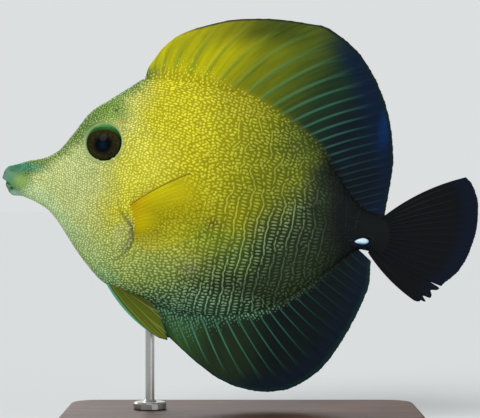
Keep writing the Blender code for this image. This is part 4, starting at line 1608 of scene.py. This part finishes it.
@dataclass
class RayFin:
    """A fin as one closed sheet, its rays raised in both faces and forked towards their tips."""

    name: str
    node: str
    root: Root
    tip: Table
    rays: int
    spines: int
    shift: Shift
    bow: tuple[float, float] = (0.0, 0.0)
    sheet: tuple[float, float] = (0.42, 0.14)
    crest: float = 0.34
    fork: float = 0.58
    scallop: float = 0.16
    sink: float = 1.2
    rows: int = 46
    per_ray: int = 12
    nicks: Table = ()

    def ends(self, u: np.ndarray) -> tuple[np.ndarray, np.ndarray]:
        """The rays' feet and tips in the side view."""
        tips = [through(self.tip, 1)(u), through(self.tip, 2)(u)]
        return np.stack(self.root(u), -1), np.stack(tips, -1)

    def length(self, u: np.ndarray) -> np.ndarray:
        """The length of the fin's rays, from root to outline."""
        start, end = self.ends(u)
        return np.linalg.norm(end - start, axis=-1)

    def face(self, u: np.ndarray, v: np.ndarray) -> tuple[np.ndarray, np.ndarray]:
        """Points on the fin's middle sheet and half its thickness there.

        Args:
            u: how far along the fin, from its first ray to its last.
            v: how far out along its rays.

        Returns:
            The points in the fish frame, and half the thickness at each.
        """
        tip_ray = self.ray_strength(u, np.ones_like(u))
        start, end = self.ends(u)
        along, length = end - start, self.length(u)
        along = along * (1 + self.margin(u, tip_ray, length) / np.maximum(length, 1e-6))[..., None]
        bow = between(self.bow, u)
        arch = np.stack([along[..., 1], -along[..., 0]], -1) * bow[..., None]
        out = v[..., None]
        flat = start + along * out - arch * 4 * out * (1 - out)
        half = between(self.sheet, np.sqrt(v)) + self.crest * self.ray_strength(u, v) * (1 - 0.8 * v)
        return np.stack([flat[..., 0], self.shift(u, v, flat), flat[..., 1]], -1), half

    def build(self) -> bpy.types.Object:
        """Makes the fin: its two faces and the rim that joins them.

        Returns:
            The fin, with what its finish needs stored on its points.
        """
        columns = (self.rays - 1) * self.per_ray + 1
        u, v = np.meshgrid(np.linspace(0, 1, columns), np.linspace(0, 1, self.rows), indexing="ij")
        middle, half = self.face(u, v)
        half[:, -1] *= 0.35
        step = np.array([0, 1, 0]) * half[..., None]
        verts = np.concatenate([(middle - step).reshape(-1, 3), (middle + step).reshape(-1, 3)])
        count = columns * self.rows
        quads = grid_faces(columns, self.rows, False)
        faces = [tuple(q) for q in quads] + [tuple(count + q[::-1]) for q in quads]
        number = np.arange(count).reshape(columns, self.rows)
        rim = np.concatenate([number[:, 0], number[-1, 1:], number[-2::-1, -1], number[0, -2:0:-1]])
        after = np.roll(rim, -1)
        faces += [(b, a, count + a, count + b) for a, b in zip(rim, after)]
        obj = piece(self.name, POSE.place(verts), faces)
        face_outwards(obj)
        reach = self.length(u)
        for name, values in (
            ("ray", self.ray_strength(u, v)), ("out", v), ("along", u),
            ("rise", reach * v - self.sink), ("edge", reach * (1 - v)),
        ):
            keep_values(obj, name, np.tile(values.ravel(), 2))
        return obj

    def ray_strength(self, u: np.ndarray, v: np.ndarray) -> np.ndarray:
        """How strongly each place is part of a ray.

        Args:
            u: how far along the fin.
            v: how far out along its rays.

        Returns:
            1 on a ray's crest, and near 0 between rays.
        """
        place = u * (self.rays - 1)
        number = np.round(place)
        off, soft = place - number, number >= self.spines
        split = np.where(soft, 0.15 * smooth_step((v - self.fork) / 0.4), 0.0)
        width = np.where(soft, 0.13 - 0.05 * v, 0.19 - 0.1 * v)
        return np.maximum(bell(off - split, width), bell(off + split, width))

    def margin(self, u: np.ndarray, ray: np.ndarray, length: np.ndarray) -> np.ndarray:
        """How far the fin's edge reaches past its outline, or falls short of it at its nicks.

        Args:
            u: how far along the fin.
            ray: how strongly its edge is part of a ray there.
            length: the length of the rays there.

        Returns:
            The distances.
        """
        reach = self.scallop * (ray - 0.6) + 0.25 * self.scallop * np.sin(u * 97.0)
        for place, depth, width in self.nicks:
            reach = reach - depth * bell(u - place, width)
        return np.maximum(reach, -0.5 * length)


def strand_group() -> bpy.types.NodeTree:
    """What all fins share: streaks that run along their rays, and the rays' short joints.

    Returns:
        A group from how far along the fin and how far out a place is to the two.
    """
    wiring, start, end = new_group(
        "fin strands", "ShaderNodeTree", {"Along": "Float", "Out": "Float"},
        {"Streak": "Float", "Joint": "Float"},
    )
    out = start.outputs["Out"]
    stretched = {0: wiring.times(start.outputs["Along"], 120.0), 1: wiring.times(out, 2.2)}
    strand = wiring.add("ShaderNodeCombineXYZ", stretched)
    wiring.fill(end, {
        "Streak": wiring.noise(strand.outputs[0], 1.0, 4),
        "Joint": wiring.math("SINE", wiring.times(out, 260.0)),
    })
    return wiring.tree


@dataclass(frozen=True)
class FinFinish:
    """A fin's satin web and rays, painted by their place in the side view."""

    name: str
    web: Paint
    rays: Paint
    streaks: float = 0.5
    line: float = 0.75
    reach: tuple[float, float] = (0.45, 0.92)
    crest: tuple[float, float] = (0.3, 0.9)
    clear: tuple[float, float] | None = None
    scaled: float = 0.0

    def build(self, skin: bpy.types.NodeTree, strands: bpy.types.NodeTree) -> bpy.types.Material:
        """Makes the material, with streaks that run along the rays.

        Args:
            skin: what skin and scales share, for the scaled foot of the fin.
            strands: what all fins share.

        Returns:
            The finished material.
        """
        material, wiring, shader = new_material(self.name)
        place = wiring.place()
        x, z = wiring.side_view(place)
        ray, out, along = (wiring.attribute(name) for name in ("ray", "out", "along"))
        strand = wiring.add("ShaderNodeGroup", {"Along": along, "Out": out}, node_tree=strands)
        streak = strand.outputs["Streak"]
        web = self.web.write(wiring, x, z)
        dark = wiring.blend(1.0, web, (0.45, 0.47, 0.48, 1), "MULTIPLY")
        web = wiring.blend(wiring.times(wiring.ease(streak, 0.4, 0.66), self.streaks), web, dark)
        edge = wiring.ease(ray, *self.crest)
        ragged = wiring.line(streak, 0.3, wiring.math("SUBTRACT", out, 0.15))
        fade = wiring.ease(ragged, self.reach[1], self.reach[0])
        share = wiring.times(wiring.times(edge, self.line), fade)
        colour = wiring.blend(share, web, self.rays.write(wiring, x, z))
        if self.scaled:
            shared = wiring.add("ShaderNodeGroup", {"Place": place}, node_tree=skin)
            rise = wiring.line(along, 3.2, wiring.line(streak, 2.0, wiring.attribute("rise")))
            foot = wiring.ease(rise, self.scaled + 2.5, self.scaled - 1.0)
            colour = wiring.blend(foot, colour, shared.outputs["Ground"])
        height = wiring.line(wiring.times(strand.outputs["Joint"], edge), 0.25, streak)
        wiring.fill(shader, {
            "Base Color": colour,
            "Roughness": wiring.line(streak, 0.25, 0.36),
            "Normal": wiring.bump(height, 0.35, 0.12),
            "Specular IOR Level": 0.1,
            "Subsurface Weight": 0.08,
            "Subsurface Radius": (1.2 * MM, 1.0 * MM, 0.4 * MM),
            "Subsurface Scale": 1.0,
        })
        if self.clear:
            solid = self.solid(wiring, out, along, streak)
            seen = wiring.line(edge, self.clear[1] - self.clear[0], self.clear[0])
            wiring.fill(shader, {"Alpha": wiring.math("MAXIMUM", seen, solid)})
        return material

    def solid(self, wiring: Wiring, out: Socket, along: Socket, streak: Socket) -> Socket:
        """Where a clear fin isn't clear.

        Args:
            wiring: what writes the nodes.
            out: how far out along its rays a place is.
            along: how far along the fin it is.
            streak: the fin's streaks there.

        Returns:
            1 near its first ray and at its foot, and 0 where it is clear.
        """
        uneven = wiring.line(streak, 0.2, along)
        front = wiring.times(wiring.ease(uneven, 0.72, 0.12), wiring.ease(out, 1.0, 0.6))
        foot = wiring.times(wiring.ease(out, 0.5, 0.08), wiring.ease(uneven, 1.1, 0.6))
        edge = wiring.times(wiring.ease(along, 0.03, 0.01), 0.9)
        return wiring.math("MAXIMUM", wiring.math("MAXIMUM", foot, front), edge)


@dataclass
class Fins:
    """All the fins, each with the outline of its node."""

    body: BodyShape
    dorsal_root: Table = (
        (0, 41.4), (0.083, 48.0), (0.125, 52.0), (0.167, 57.0), (0.25, 68.0), (0.333, 78.5),
        (0.417, 87.6), (0.5, 95.1), (0.583, 101.3), (0.667, 106.1), (0.75, 109.9),
        (0.833, 113.3), (0.917, 117.2), (1, 121.8),
    )
    dorsal_tip: Table = (
        (0, 42.6, 46.2), (0.04, 45.1, 51.1), (0.083, 50.1, 56.4), (0.125, 58.6, 61.0),
        (0.167, 71.4, 65.2), (0.21, 84.3, 66.7), (0.25, 95.4, 66.8), (0.29, 104.0, 63.7),
        (0.333, 109.9, 59.7), (0.375, 114.8, 54.5), (0.417, 118.0, 50.1), (0.5, 122.1, 42.7),
        (0.583, 124.7, 35.8), (0.667, 126.2, 30.0), (0.75, 127.2, 24.3), (0.833, 127.3, 19.2),
        (0.917, 127.2, 13.7), (1, 127.0, 6.9),
    )
    anal_root: Table = (
        (0, 55.0), (0.1, 63.0), (0.2, 72.2), (0.3, 80.1), (0.4, 87.4), (0.5, 93.8), (0.6, 99.3),
        (0.7, 104.7), (0.8, 109.6), (0.9, 114.4), (1, 119.3),
    )
    anal_tip: Table = (
        (0, 61.6, -43.4), (0.1, 73.4, -51.1), (0.15, 80.7, -54.8), (0.2, 87.1, -56.6),
        (0.25, 93.9, -57.1), (0.3, 100.3, -56.1), (0.35, 104.8, -54.5), (0.4, 108.8, -51.7),
        (0.45, 112.0, -48.8), (0.5, 115.2, -44.8), (0.6, 119.3, -36.7), (0.7, 122.1, -29.3),
        (0.8, 124.3, -21.7), (0.9, 125.4, -15.7), (1, 124.7, -8.2),
    )
    caudal_tip: Table = (
        (0, 151.6, 24.3), (0.06, 153.4, 23.1), (0.14, 155.4, 20.4), (0.25, 157.3, 15.8),
        (0.45, 158.1, 8.0), (0.62, 156.9, -0.4), (0.74, 154.3, -7.0), (0.85, 149.9, -12.2),
        (0.89, 148.4, -14.4), (0.93, 146.2, -17.4), (0.96, 144.6, -19.2), (1, 141.2, -19.1),
    )
    pectoral_tip: Table = (
        (0, 61.0, 11.0), (0.15, 65.7, 9.4), (0.3, 69.7, 5.3), (0.45, 70.9, -0.2),
        (0.6, 68.8, -6.0), (0.75, 63.5, -10.9), (0.9, 55.7, -14.8), (1, 50.8, -16.1),
    )
    pelvic_tip: Table = (
        (0, 55.7, -42.8), (0.25, 59.6, -44.3), (0.5, 62.2, -44.5), (0.7, 60.4, -40.1),
        (0.85, 57.4, -35.5), (1, 54.3, -32.9),
    )
    dorsal_sheath: Table = (
        (0, 3.5), (0.07, 5.5), (0.13, 7.5), (0.18, 7.0), (0.21, 4.5), (0.24, 2.2), (0.3, 1.2),
        (0.5, 0.8), (1, 0.4),
    )
    anal_sheath: Table = (
        (0, 7.0), (0.12, 8.5), (0.2, 6.0), (0.3, 3.4), (0.5, 2.2), (0.9, 1.2), (1, 0.6),
    )
    tears: Table = (
        (0.87, 6.0, 0.0032), (0.905, 1.6, 0.009), (0.94, 2.2, 0.006), (0.965, 1.0, 0.01),
    )
    sink: float = 1.2
    wave: float = 0.9

    def dorsal(self) -> RayFin:
        """The tall fin along the back.

        Returns:
            The fin.
        """
        root = along_outline(self.dorsal_root, self.body.back, -self.sink)
        return RayFin(
            "tang_dorsal_fin", "dorsal_fin", root, self.dorsal_tip, rays=28, spines=5,
            shift=waved(self.wave, 1.3, 0.1), bow=(0.10, -0.01),
        )

    def anal(self) -> RayFin:
        """The fin under the tail half of the belly.

        Returns:
            The fin.
        """
        root = along_outline(self.anal_root, self.body.belly, self.sink)
        return RayFin(
            "tang_anal_fin", "anal_fin", root, self.anal_tip, rays=22, spines=3,
            shift=waved(-self.wave, 1.2, 0.1), bow=(-0.04, 0.0),
        )

    def caudal(self) -> RayFin:
        """The tail fin, with a small tear in its lower lobe.

        Returns:
            The fin.
        """
        return RayFin(
            "tang_caudal_fin", "caudal_fin", lambda u: (126.0 - 2.6 * u**2, 6.4 - 12.0 * u),
            self.caudal_tip, rays=17, spines=0, shift=waved(1.2, 0.5, -0.05), bow=(0.055, -0.05),
            sheet=(0.85, 0.16), crest=0.25, rows=52, per_ray=18, nicks=self.tears,
        )

    def pectoral(self, flank: Flank) -> RayFin:
        """The clear paddle behind the gill cover.

        Args:
            flank: the side of the fish.

        Returns:
            The fin.
        """
        root = straight((42.0, -3.5), (46.2, -13.8))
        skin = float(self.body.flank_width(np.array(44.0), np.array(-8.0)))

        def shift(u: np.ndarray, v: np.ndarray, place: np.ndarray) -> np.ndarray:
            """How far the paddle stands out from the fish's middle."""
            lift = 2.6 * smooth_step(5 * v) - 1.4 + 0.36 * off_root(root, u, place)
            return flank.value * (skin + lift + 1.5 * np.sin(np.pi * u) * v)

        return RayFin(
            f"tang_pectoral_fin_{flank.word}", f"pectoral_fin_{flank.word}", root,
            self.pectoral_tip, rays=16, spines=1, shift=shift, bow=(0.04, 0.04), sheet=(0.4, 0.1),
            crest=0.2, fork=0.35,
        )

    def pelvic(self, flank: Flank) -> RayFin:
        """The narrow fin under the throat, stiffened by one spine.

        Args:
            flank: the side of the fish.

        Returns:
            The fin.
        """
        root = straight((38.8, -29.2), (46.6, -30.9))

        def shift(u: np.ndarray, v: np.ndarray, place: np.ndarray) -> np.ndarray:
            """How far the fin stands out from the fish's middle."""
            lift = 0.16 * off_root(root, u, place) - 0.4
            return flank.value * (self.body.flank_width(*root(u)) + lift)

        return RayFin(
            f"tang_pelvic_fin_{flank.word}", f"pelvic_fin_{flank.word}", root,
            self.pelvic_tip, rays=6, spines=1, shift=shift, bow=(-0.06, 0.02),
            sheet=(0.45, 0.14), crest=0.4, per_ray=18,
        )


# Eyes, tail spines and stand


@dataclass
class Eye:
    """A glossy eyeball with a dark iris round a black pupil, its middle painted with a blue glint."""

    flank: Flank
    body: BodyShape
    place: tuple[float, float] = EYE_AT
    radius: float = 6.3
    half_depth: float = 3.5
    sink: float = 1.9
    gaze: tuple[float, float] = (0.07, -0.22)

    def facing(self) -> np.ndarray:
        """The skin's own outward direction where the eye sits.

        Returns:
            The direction, at length 1.
        """
        x, z = (np.array(v) for v in self.place)
        reach, side, width = 2.0, self.flank.value, self.body.flank_width
        ahead, behind = width(x + reach, z), width(x - reach, z)
        above, below = width(x, z + reach), width(x, z - reach)
        along = np.array((2 * reach, side * float(ahead - behind), 0.0))
        up = np.array((0.0, side * float(above - below), 2 * reach))
        return unit(side * np.cross(up, along))

    def build(self) -> bpy.types.Object:
        """Makes the eyeball, its pole facing out, with each point's distance from it stored.

        Returns:
            The eyeball.
        """
        polar, around = ball_angles(60, 72, 0.02)
        out = self.facing()
        along = unit(np.array((1.0, 0, 0)) - out * out[0])
        up = np.cross(along, out)
        up *= np.sign(up[2])
        across, high = np.sin(polar) * np.cos(around), np.sin(polar) * np.sin(around)
        bulge = self.half_depth * (1 + 0.05 * bell(polar, 0.7))
        ball = (
            self.body.skin_point(self.flank, self.place) - out * self.sink
            + along * (self.radius * across)[..., None] + up * (self.radius * high)[..., None]
            + out * (bulge * np.cos(polar))[..., None]
        )
        obj = closed_piece(f"tang_eye_{self.flank.word}", ball)
        inner = np.cos(np.minimum(polar, np.pi / 2)) ** 2
        away = np.hypot(across - self.gaze[0] * inner, high - self.gaze[1] * inner)
        away = np.where(polar < np.pi / 2, away, 1.0)
        keep_values(obj, "away", np.concatenate([away.ravel(), [np.hypot(*self.gaze), 1.0]]))
        keep_values(obj, "turn", np.concatenate([np.sin(around).ravel(), [0, 0]]))
        return obj


@dataclass(frozen=True)
class EyeFinish:
    """Black pupil with a painted blue glint at its middle, and dark iris, under a green crescent at the
    top of the eye and a wet gloss.
    """

    name: str = "wet eye"
    pupil: float = 0.44
    crescent: float = 1.03

    def build(self) -> bpy.types.Material:
        """Makes the material from the distance to the eye's pole and the turn round it.

        Returns:
            The finished material.
        """
        material, wiring, shader = new_material(self.name)
        fibre = wiring.noise(wiring.place(), 1.6, 4)
        away = wiring.math("SUBTRACT", wiring.attribute("away"), 0.03)
        ragged = wiring.line(fibre, 0.06, away)
        upper = wiring.math("MAXIMUM", wiring.attribute("turn"), 0.0)
        high = wiring.line(upper, 0.24, ragged)
        # The pupil's middle is painted dark blue as a glint, fading to near black outwards
        centre = wiring.over(wiring.ease(ragged, 0.03, 0.3), linear((10, 28, 46)), (7, 12, 17))
        iris = wiring.over(wiring.ease(fibre, 0.35, 0.7), linear((51, 46, 22)), (28, 27, 15))
        colour = wiring.blend(wiring.ease(ragged, self.pupil - 0.1, self.pupil + 0.22), centre, iris)
        for value, low, full, ring in (
            (ragged, 0.84, 0.94, (16, 18, 12)),
            (high, self.crescent - 0.05, self.crescent + 0.03, (34, 88, 36)),
            (high, self.crescent + 0.07, self.crescent + 0.2, (108, 172, 100)),
        ):
            colour = wiring.over(wiring.ease(value, low, full), colour, ring)
        wiring.fill(shader, {
            "Base Color": colour,
            "Roughness": wiring.line(fibre, 0.06, 0.1),
            "Specular IOR Level": 0.025,
        })
        return material


@dataclass
class TailSpine:
    """The white blade folded along the tail stalk, its point towards the head."""

    flank: Flank
    body: BodyShape
    place: tuple[float, float] = BLADE_AT
    half: tuple[float, float, float] = (2.3, 0.75, 1.15)

    def build(self) -> bpy.types.Object:
        """Makes the blade as a tapered, flattened ball.

        Returns:
            The blade.
        """
        polar, around = ball_angles(36, 28, 0.03)
        x, y, z = self.body.skin_point(self.flank, self.place)
        ahead = np.maximum(0, np.cos(polar))
        ball = np.stack([
            x - self.half[0] * np.cos(polar),
            y + self.half[1] * np.sin(polar) * np.cos(around),
            z + self.half[2] * np.sin(polar) * np.sin(around) * (1 - 0.3 * ahead),
        ], -1)
        ball[..., 2] += BLADE_TILT * (ball[..., 0] - x)
        return closed_piece(f"tang_tail_spine_{self.flank.word}", ball)


@dataclass(frozen=True)
class BladeFinish:
    """Bluish-white bone under a thin wet gloss."""

    name: str = "spine bone"

    def build(self) -> bpy.types.Material:
        """Makes the material, bluer towards the blade's root, with painted shade in deeper blue along
        its lower edge.

        Returns:
            The finished material.
        """
        material, wiring, shader = new_material(self.name)
        place = wiring.place()
        x, z = wiring.side_view(place)
        cloud = wiring.noise(place, 1.4, 3)
        level = wiring.line(x, -BLADE_TILT, z)
        bone = wiring.over(wiring.ease(cloud, 0.3, 0.7), linear((222, 240, 250)), (186, 218, 240))
        bone = wiring.over(wiring.ease(x, 121.6, 123.4), bone, (96, 140, 176))
        # Deeper blue along the blade's lower edge: painted shade
        bone = wiring.over(wiring.ease(level, -19.35, -20.05), bone, (44, 112, 160))
        wiring.fill(shader, {
            "Base Color": bone, "Roughness": wiring.line(cloud, 0.15, 0.18), "Coat Weight": 0.5,
        })
        return material


@dataclass(frozen=True)
class WoodFinish:
    """Dark, fine-grained wood under a satin varnish."""

    name: str = "varnished wood"

    def build(self) -> bpy.types.Material:
        """Makes the material, its grain along the base's length.

        Returns:
            The finished material.
        """
        material, wiring, shader = new_material(self.name)
        place = wiring.place(posed=False)
        rings = wiring.noise(place, 0.35, 6, (0.08, 1.0, 1.0))
        pores = wiring.noise(place, 3.0, 3, (0.06, 1.0, 1.0))
        wood = wiring.over(wiring.ease(rings, 0.3, 0.72), linear((52, 34, 24)), (92, 60, 40))
        wood = wiring.over(wiring.times(wiring.ease(pores, 0.55, 0.7), 0.5), wood, (28, 18, 13))
        wiring.fill(shader, {
            "Base Color": wood,
            "Roughness": wiring.line(pores, 0.2, 0.42),
            "Normal": wiring.bump(pores, 0.2, 0.05),
            "Specular IOR Level": 0.3,
        })
        return material


@dataclass(frozen=True)
class SteelFinish:
    """Satin steel, brushed round the rod."""

    name: str = "satin steel"

    def build(self) -> bpy.types.Material:
        """Makes the material, its brushing in fine level lines.

        Returns:
            The finished material.
        """
        material, wiring, shader = new_material(self.name)
        lines = wiring.noise(wiring.place(posed=False), 2.0, 4, (0.3, 0.3, 6.0))
        wiring.fill(shader, {
            "Base Color": wiring.over(lines, linear((176, 176, 172)), (206, 206, 202)),
            "Roughness": wiring.line(lines, 0.2, 0.22),
            "Metallic": 1.0,
        })
        return material


@dataclass
class Stand:
    """The base and the rod, as the frame has them, with their finishes."""

    finishes: dict[str, WoodFinish | SteelFinish] = field(
        default_factory=lambda: {"stand_base": WoodFinish(), "stand_rod": SteelFinish()}
    )

    def dress(self, nodes: dict[str, bpy.types.Object]) -> None:
        """Gives the frame's own nodes their materials.

        Args:
            nodes: the frame's nodes by name.
        """
        for node, finish in self.finishes.items():
            material = finish.build()
            for slot in nodes[node].material_slots:
                slot.material = material
            LOG.info("%s: finished as %s", node, finish.name)


# The studio


@dataclass
class Studio:
    """A wide pale floor, broad soft lights from every side and the photograph's camera."""

    distance: float = 0.62
    frame_width: float = 0.160
    aim: tuple[float, float] = (-0.67 * MM, 73.67 * MM)
    floor_half: float = 40.0
    sensor: float = 36.0

    def build(self) -> None:
        """Sets up everything that isn't part of the object."""
        self.floor()
        self.lights()
        self.sky()
        self.camera()

    def floor(self) -> None:
        """The floor, which runs on to the horizon."""
        far = self.floor_half
        corners = np.array([(-far, -far, 0), (far, -far, 0), (far, far, 0), (-far, far, 0)])
        obj = piece("studio_floor", corners, [(0, 1, 2, 3)])
        material, wiring, shader = new_material("pale floor")
        wiring.fill(shader, {
            "Base Color": (0.56, 0.57, 0.57, 1), "Roughness": 0.9, "Specular IOR Level": 0.0,
        })
        obj.data.materials.append(material)

    def lights(self) -> None:
        """A broad key from above the camera's left, a fill, a top light and one from behind."""
        for name, place, power, spread in (
            ("key", (-0.45, -0.85, 0.85), 1.95, 30),
            ("fill", (0.75, -0.75, 0.25), 0.7, 40),
            ("top", (0.05, 0.15, 0.95), 1.2, 40),
            ("back", (-0.3, 0.85, 0.7), 1.5, 40),
        ):
            lamp = bpy.data.lights.new(name, "SUN")
            lamp.energy, lamp.angle = power, math.radians(spread)
            obj = show(name, lamp)
            obj.location = place
            aim = Vector((0, 0, 0.07)) - Vector(place)
            obj.rotation_euler = aim.to_track_quat("-Z", "Y").to_euler()

    def sky(self) -> None:
        """A faint sky that lights the fish, and a pale one behind it that meets the floor."""
        world = bpy.data.worlds.new("studio sky")
        world.use_nodes = True
        wiring, nodes = Wiring(world.node_tree), world.node_tree.nodes
        faint = wiring.fill(
            nodes["Background"], {"Color": (0.85, 0.93, 1.0, 1), "Strength": 0.2},
        )
        pale = wiring.add("ShaderNodeBackground", {"Color": (0.72, 0.74, 0.74, 1)})
        seen = wiring.add("ShaderNodeMixShader", {
            0: wiring.add("ShaderNodeLightPath").outputs["Is Camera Ray"],
            1: faint.outputs[0], 2: pale.outputs[0],
        })
        wiring.fill(nodes["World Output"], {"Surface": seen.outputs[0]})
        bpy.context.scene.world = world

    def camera(self) -> None:
        """A level camera with a long lens, as far off as the photograph's framing needs."""
        lens = bpy.data.cameras.new("camera")
        lens.sensor_width = self.sensor
        lens.lens = self.sensor * self.distance / self.frame_width
        obj = show("camera", lens)
        obj.location = (self.aim[0], -self.distance, self.aim[1])
        obj.rotation_euler = (math.pi / 2, 0, 0)
        bpy.context.scene.camera = obj
        bpy.context.scene.view_settings.view_transform = "Standard"


# Fin colours

# The way that the dorsal fin's colours change: towards the tail, and a little downwards
DORSAL_WAY = (0.92, -0.38)

DORSAL_FINISH = FinFinish(
    "dorsal web",
    Paint((186, 182, 6), (
        Wash((118, 126, 12), *DORSAL_WAY, 39, 53),
        Rim((36, 58, 16), 20.0, 1.0, 0.0, 44, 80, 0.78),
        Wash((80, 96, 20), *DORSAL_WAY, 53, 66),
        Wash((28, 52, 28), *DORSAL_WAY, 62, 77),
        Wash((6, 22, 32), *DORSAL_WAY, 74, 90),
        Rim((3, 24, 50), 12.0, 1.0, 0.0, 92, 110, 0.9),
        # Brighter blue spot high on the fin's rear edge: a painted sheen
        Spot((2, 46, 96), (122.6, 37.0), (3.6, 11.5), 0.9, 0.75),
        Spot((5, 16, 26), (119.0, 16.0), (9.0, 15.0), 0.9, 0.8),
        Rim((10, 30, 30), 1.6, 1.0, 0.0, 46, 60, 0.9),
    )),
    Paint((126, 144, 30), (
        Wash((76, 124, 68), *DORSAL_WAY, 46, 60),
        Wash((52, 112, 86), *DORSAL_WAY, 60, 78),
        Wash((16, 52, 60), *DORSAL_WAY, 80, 98),
        Spot((10, 32, 38), (118.5, 14.0), (10.0, 15.0), 0.9, 0.8),
    )),
    streaks=0.42, line=0.66, crest=(0.2, 0.75), scaled=3.0,
)
ANAL_FINISH = FinFinish(
    "anal web",
    Paint((54, 88, 42), (
        Wash((32, 48, 26), 1, -0.1, 68, 82),
        Wash((10, 22, 22), 1, 0, 82, 98),
        Rim((8, 22, 36), 10.0, 1.0, -0.4, 100, 122),
        Rim((14, 42, 44), 2.0),
    )),
    Paint((60, 104, 58), (
        Wash((84, 156, 124), 1, 0.25, 52, 60),
        Wash((54, 120, 96), 1, 0, 74, 92),
        Wash((16, 50, 54), 1, 0, 94, 112),
    )),
    streaks=0.42, line=0.6, reach=(0.4, 0.9), crest=(0.45, 0.98), scaled=2.5,
)
CAUDAL_FINISH = FinFinish(
    "caudal web",
    Paint((9, 12, 16), (Rim((7, 18, 36), 8.0, 1.0, 0.05, 138, 150, 0.9),)),
    Paint((15, 20, 26)),
    streaks=0.2, line=0.5,
)
PECTORAL_FINISH = FinFinish(
    "pectoral web",
    Paint((206, 194, 0), (
        Wash((208, 174, 0), -1, 0.2, -52, -43),
        Wash((162, 164, 24), 1, 0.1, 60, 72),
        Band((104, 96, 14), "along", 0.035, 0.012, 0.85),
    )),
    Paint((212, 202, 40), (Wash((190, 150, 10), -1, 0, -54, -45),)),
    streaks=0.3, line=0.5, reach=(0.9, 1.2), clear=(0.12, 0.25),
)
PELVIC_FINISH = FinFinish(
    "pelvic web",
    Paint((84, 98, 14), (
        Band((62, 64, 12), "along", 0.66, 0.94, 0.9),
        Band((122, 126, 40), "along", 0.33, 0.28, 0.7),
        Band((62, 74, 16), "along", 0.25, 0.2, 0.95),
        Band((84, 166, 124), "along", 0.17, 0.09),
        Rim((30, 74, 52), 1.2),
    )),
    Paint((136, 138, 64), (Band((96, 176, 130), "along", 0.17, 0.1),)),
    streaks=0.6, line=0.5, reach=(0.9, 1.2),
)


def main() -> None:
    """Builds the fish, its stand and the studio round them."""
    logging.basicConfig(level=logging.INFO, format="%(message)s")
    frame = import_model()
    body, relief = BodyShape(), Relief()
    shared, strands = skin_group(), strand_group()
    flesh = ("head", "lower_jaw", "trunk", "tail_stalk", "gill_cover_left", "gill_cover_right")
    skin = SkinFinish("tang skin", False).build(shared)
    dress(Skin(body, relief).build(), skin, "skin", *flesh)
    scales = SkinFinish("tang scales", True, (0.36, 0.48)).build(shared)
    fins = Fins(body)
    dorsal, anal, caudal = fins.dorsal(), fins.anal(), fins.caudal()
    for fin, finish, slot in (
        (dorsal, DORSAL_FINISH, "fin"), (anal, ANAL_FINISH, "dark_fin"),
        (caudal, CAUDAL_FINISH, "dark_fin"),
    ):
        dress(fin.build(), finish.build(shared, strands), slot, fin.node)
    clear, web = (f.build(shared, strands) for f in (PECTORAL_FINISH, PELVIC_FINISH))
    wet, bone = EyeFinish().build(), BladeFinish().build()
    for flank in Flank:
        coat = ScaleCoat(body, relief, flank)
        roots = coat.roots()
        roots = roots.joined(coat.sheath(dorsal, through(fins.dorsal_sheath), math.pi / 2))
        roots = roots.joined(coat.sheath(anal, through(fins.anal_sheath), -math.pi / 2))
        dress(coat.build(roots, scales), scales, "skin")
        pectoral, pelvic = fins.pectoral(flank), fins.pelvic(flank)
        dress(pectoral.build(), clear, "clear_fin", pectoral.node)
        dress(pelvic.build(), web, "fin", pelvic.node)
        dress(Eye(flank, body).build(), wet, "eye", f"eye_{flank.word}")
        dress(TailSpine(flank, body).build(), bone, "blade", f"tail_spine_{flank.word}")
    Stand().dress(frame["nodes"])
    Studio().build()


if __name__ == "__main__":
    main()
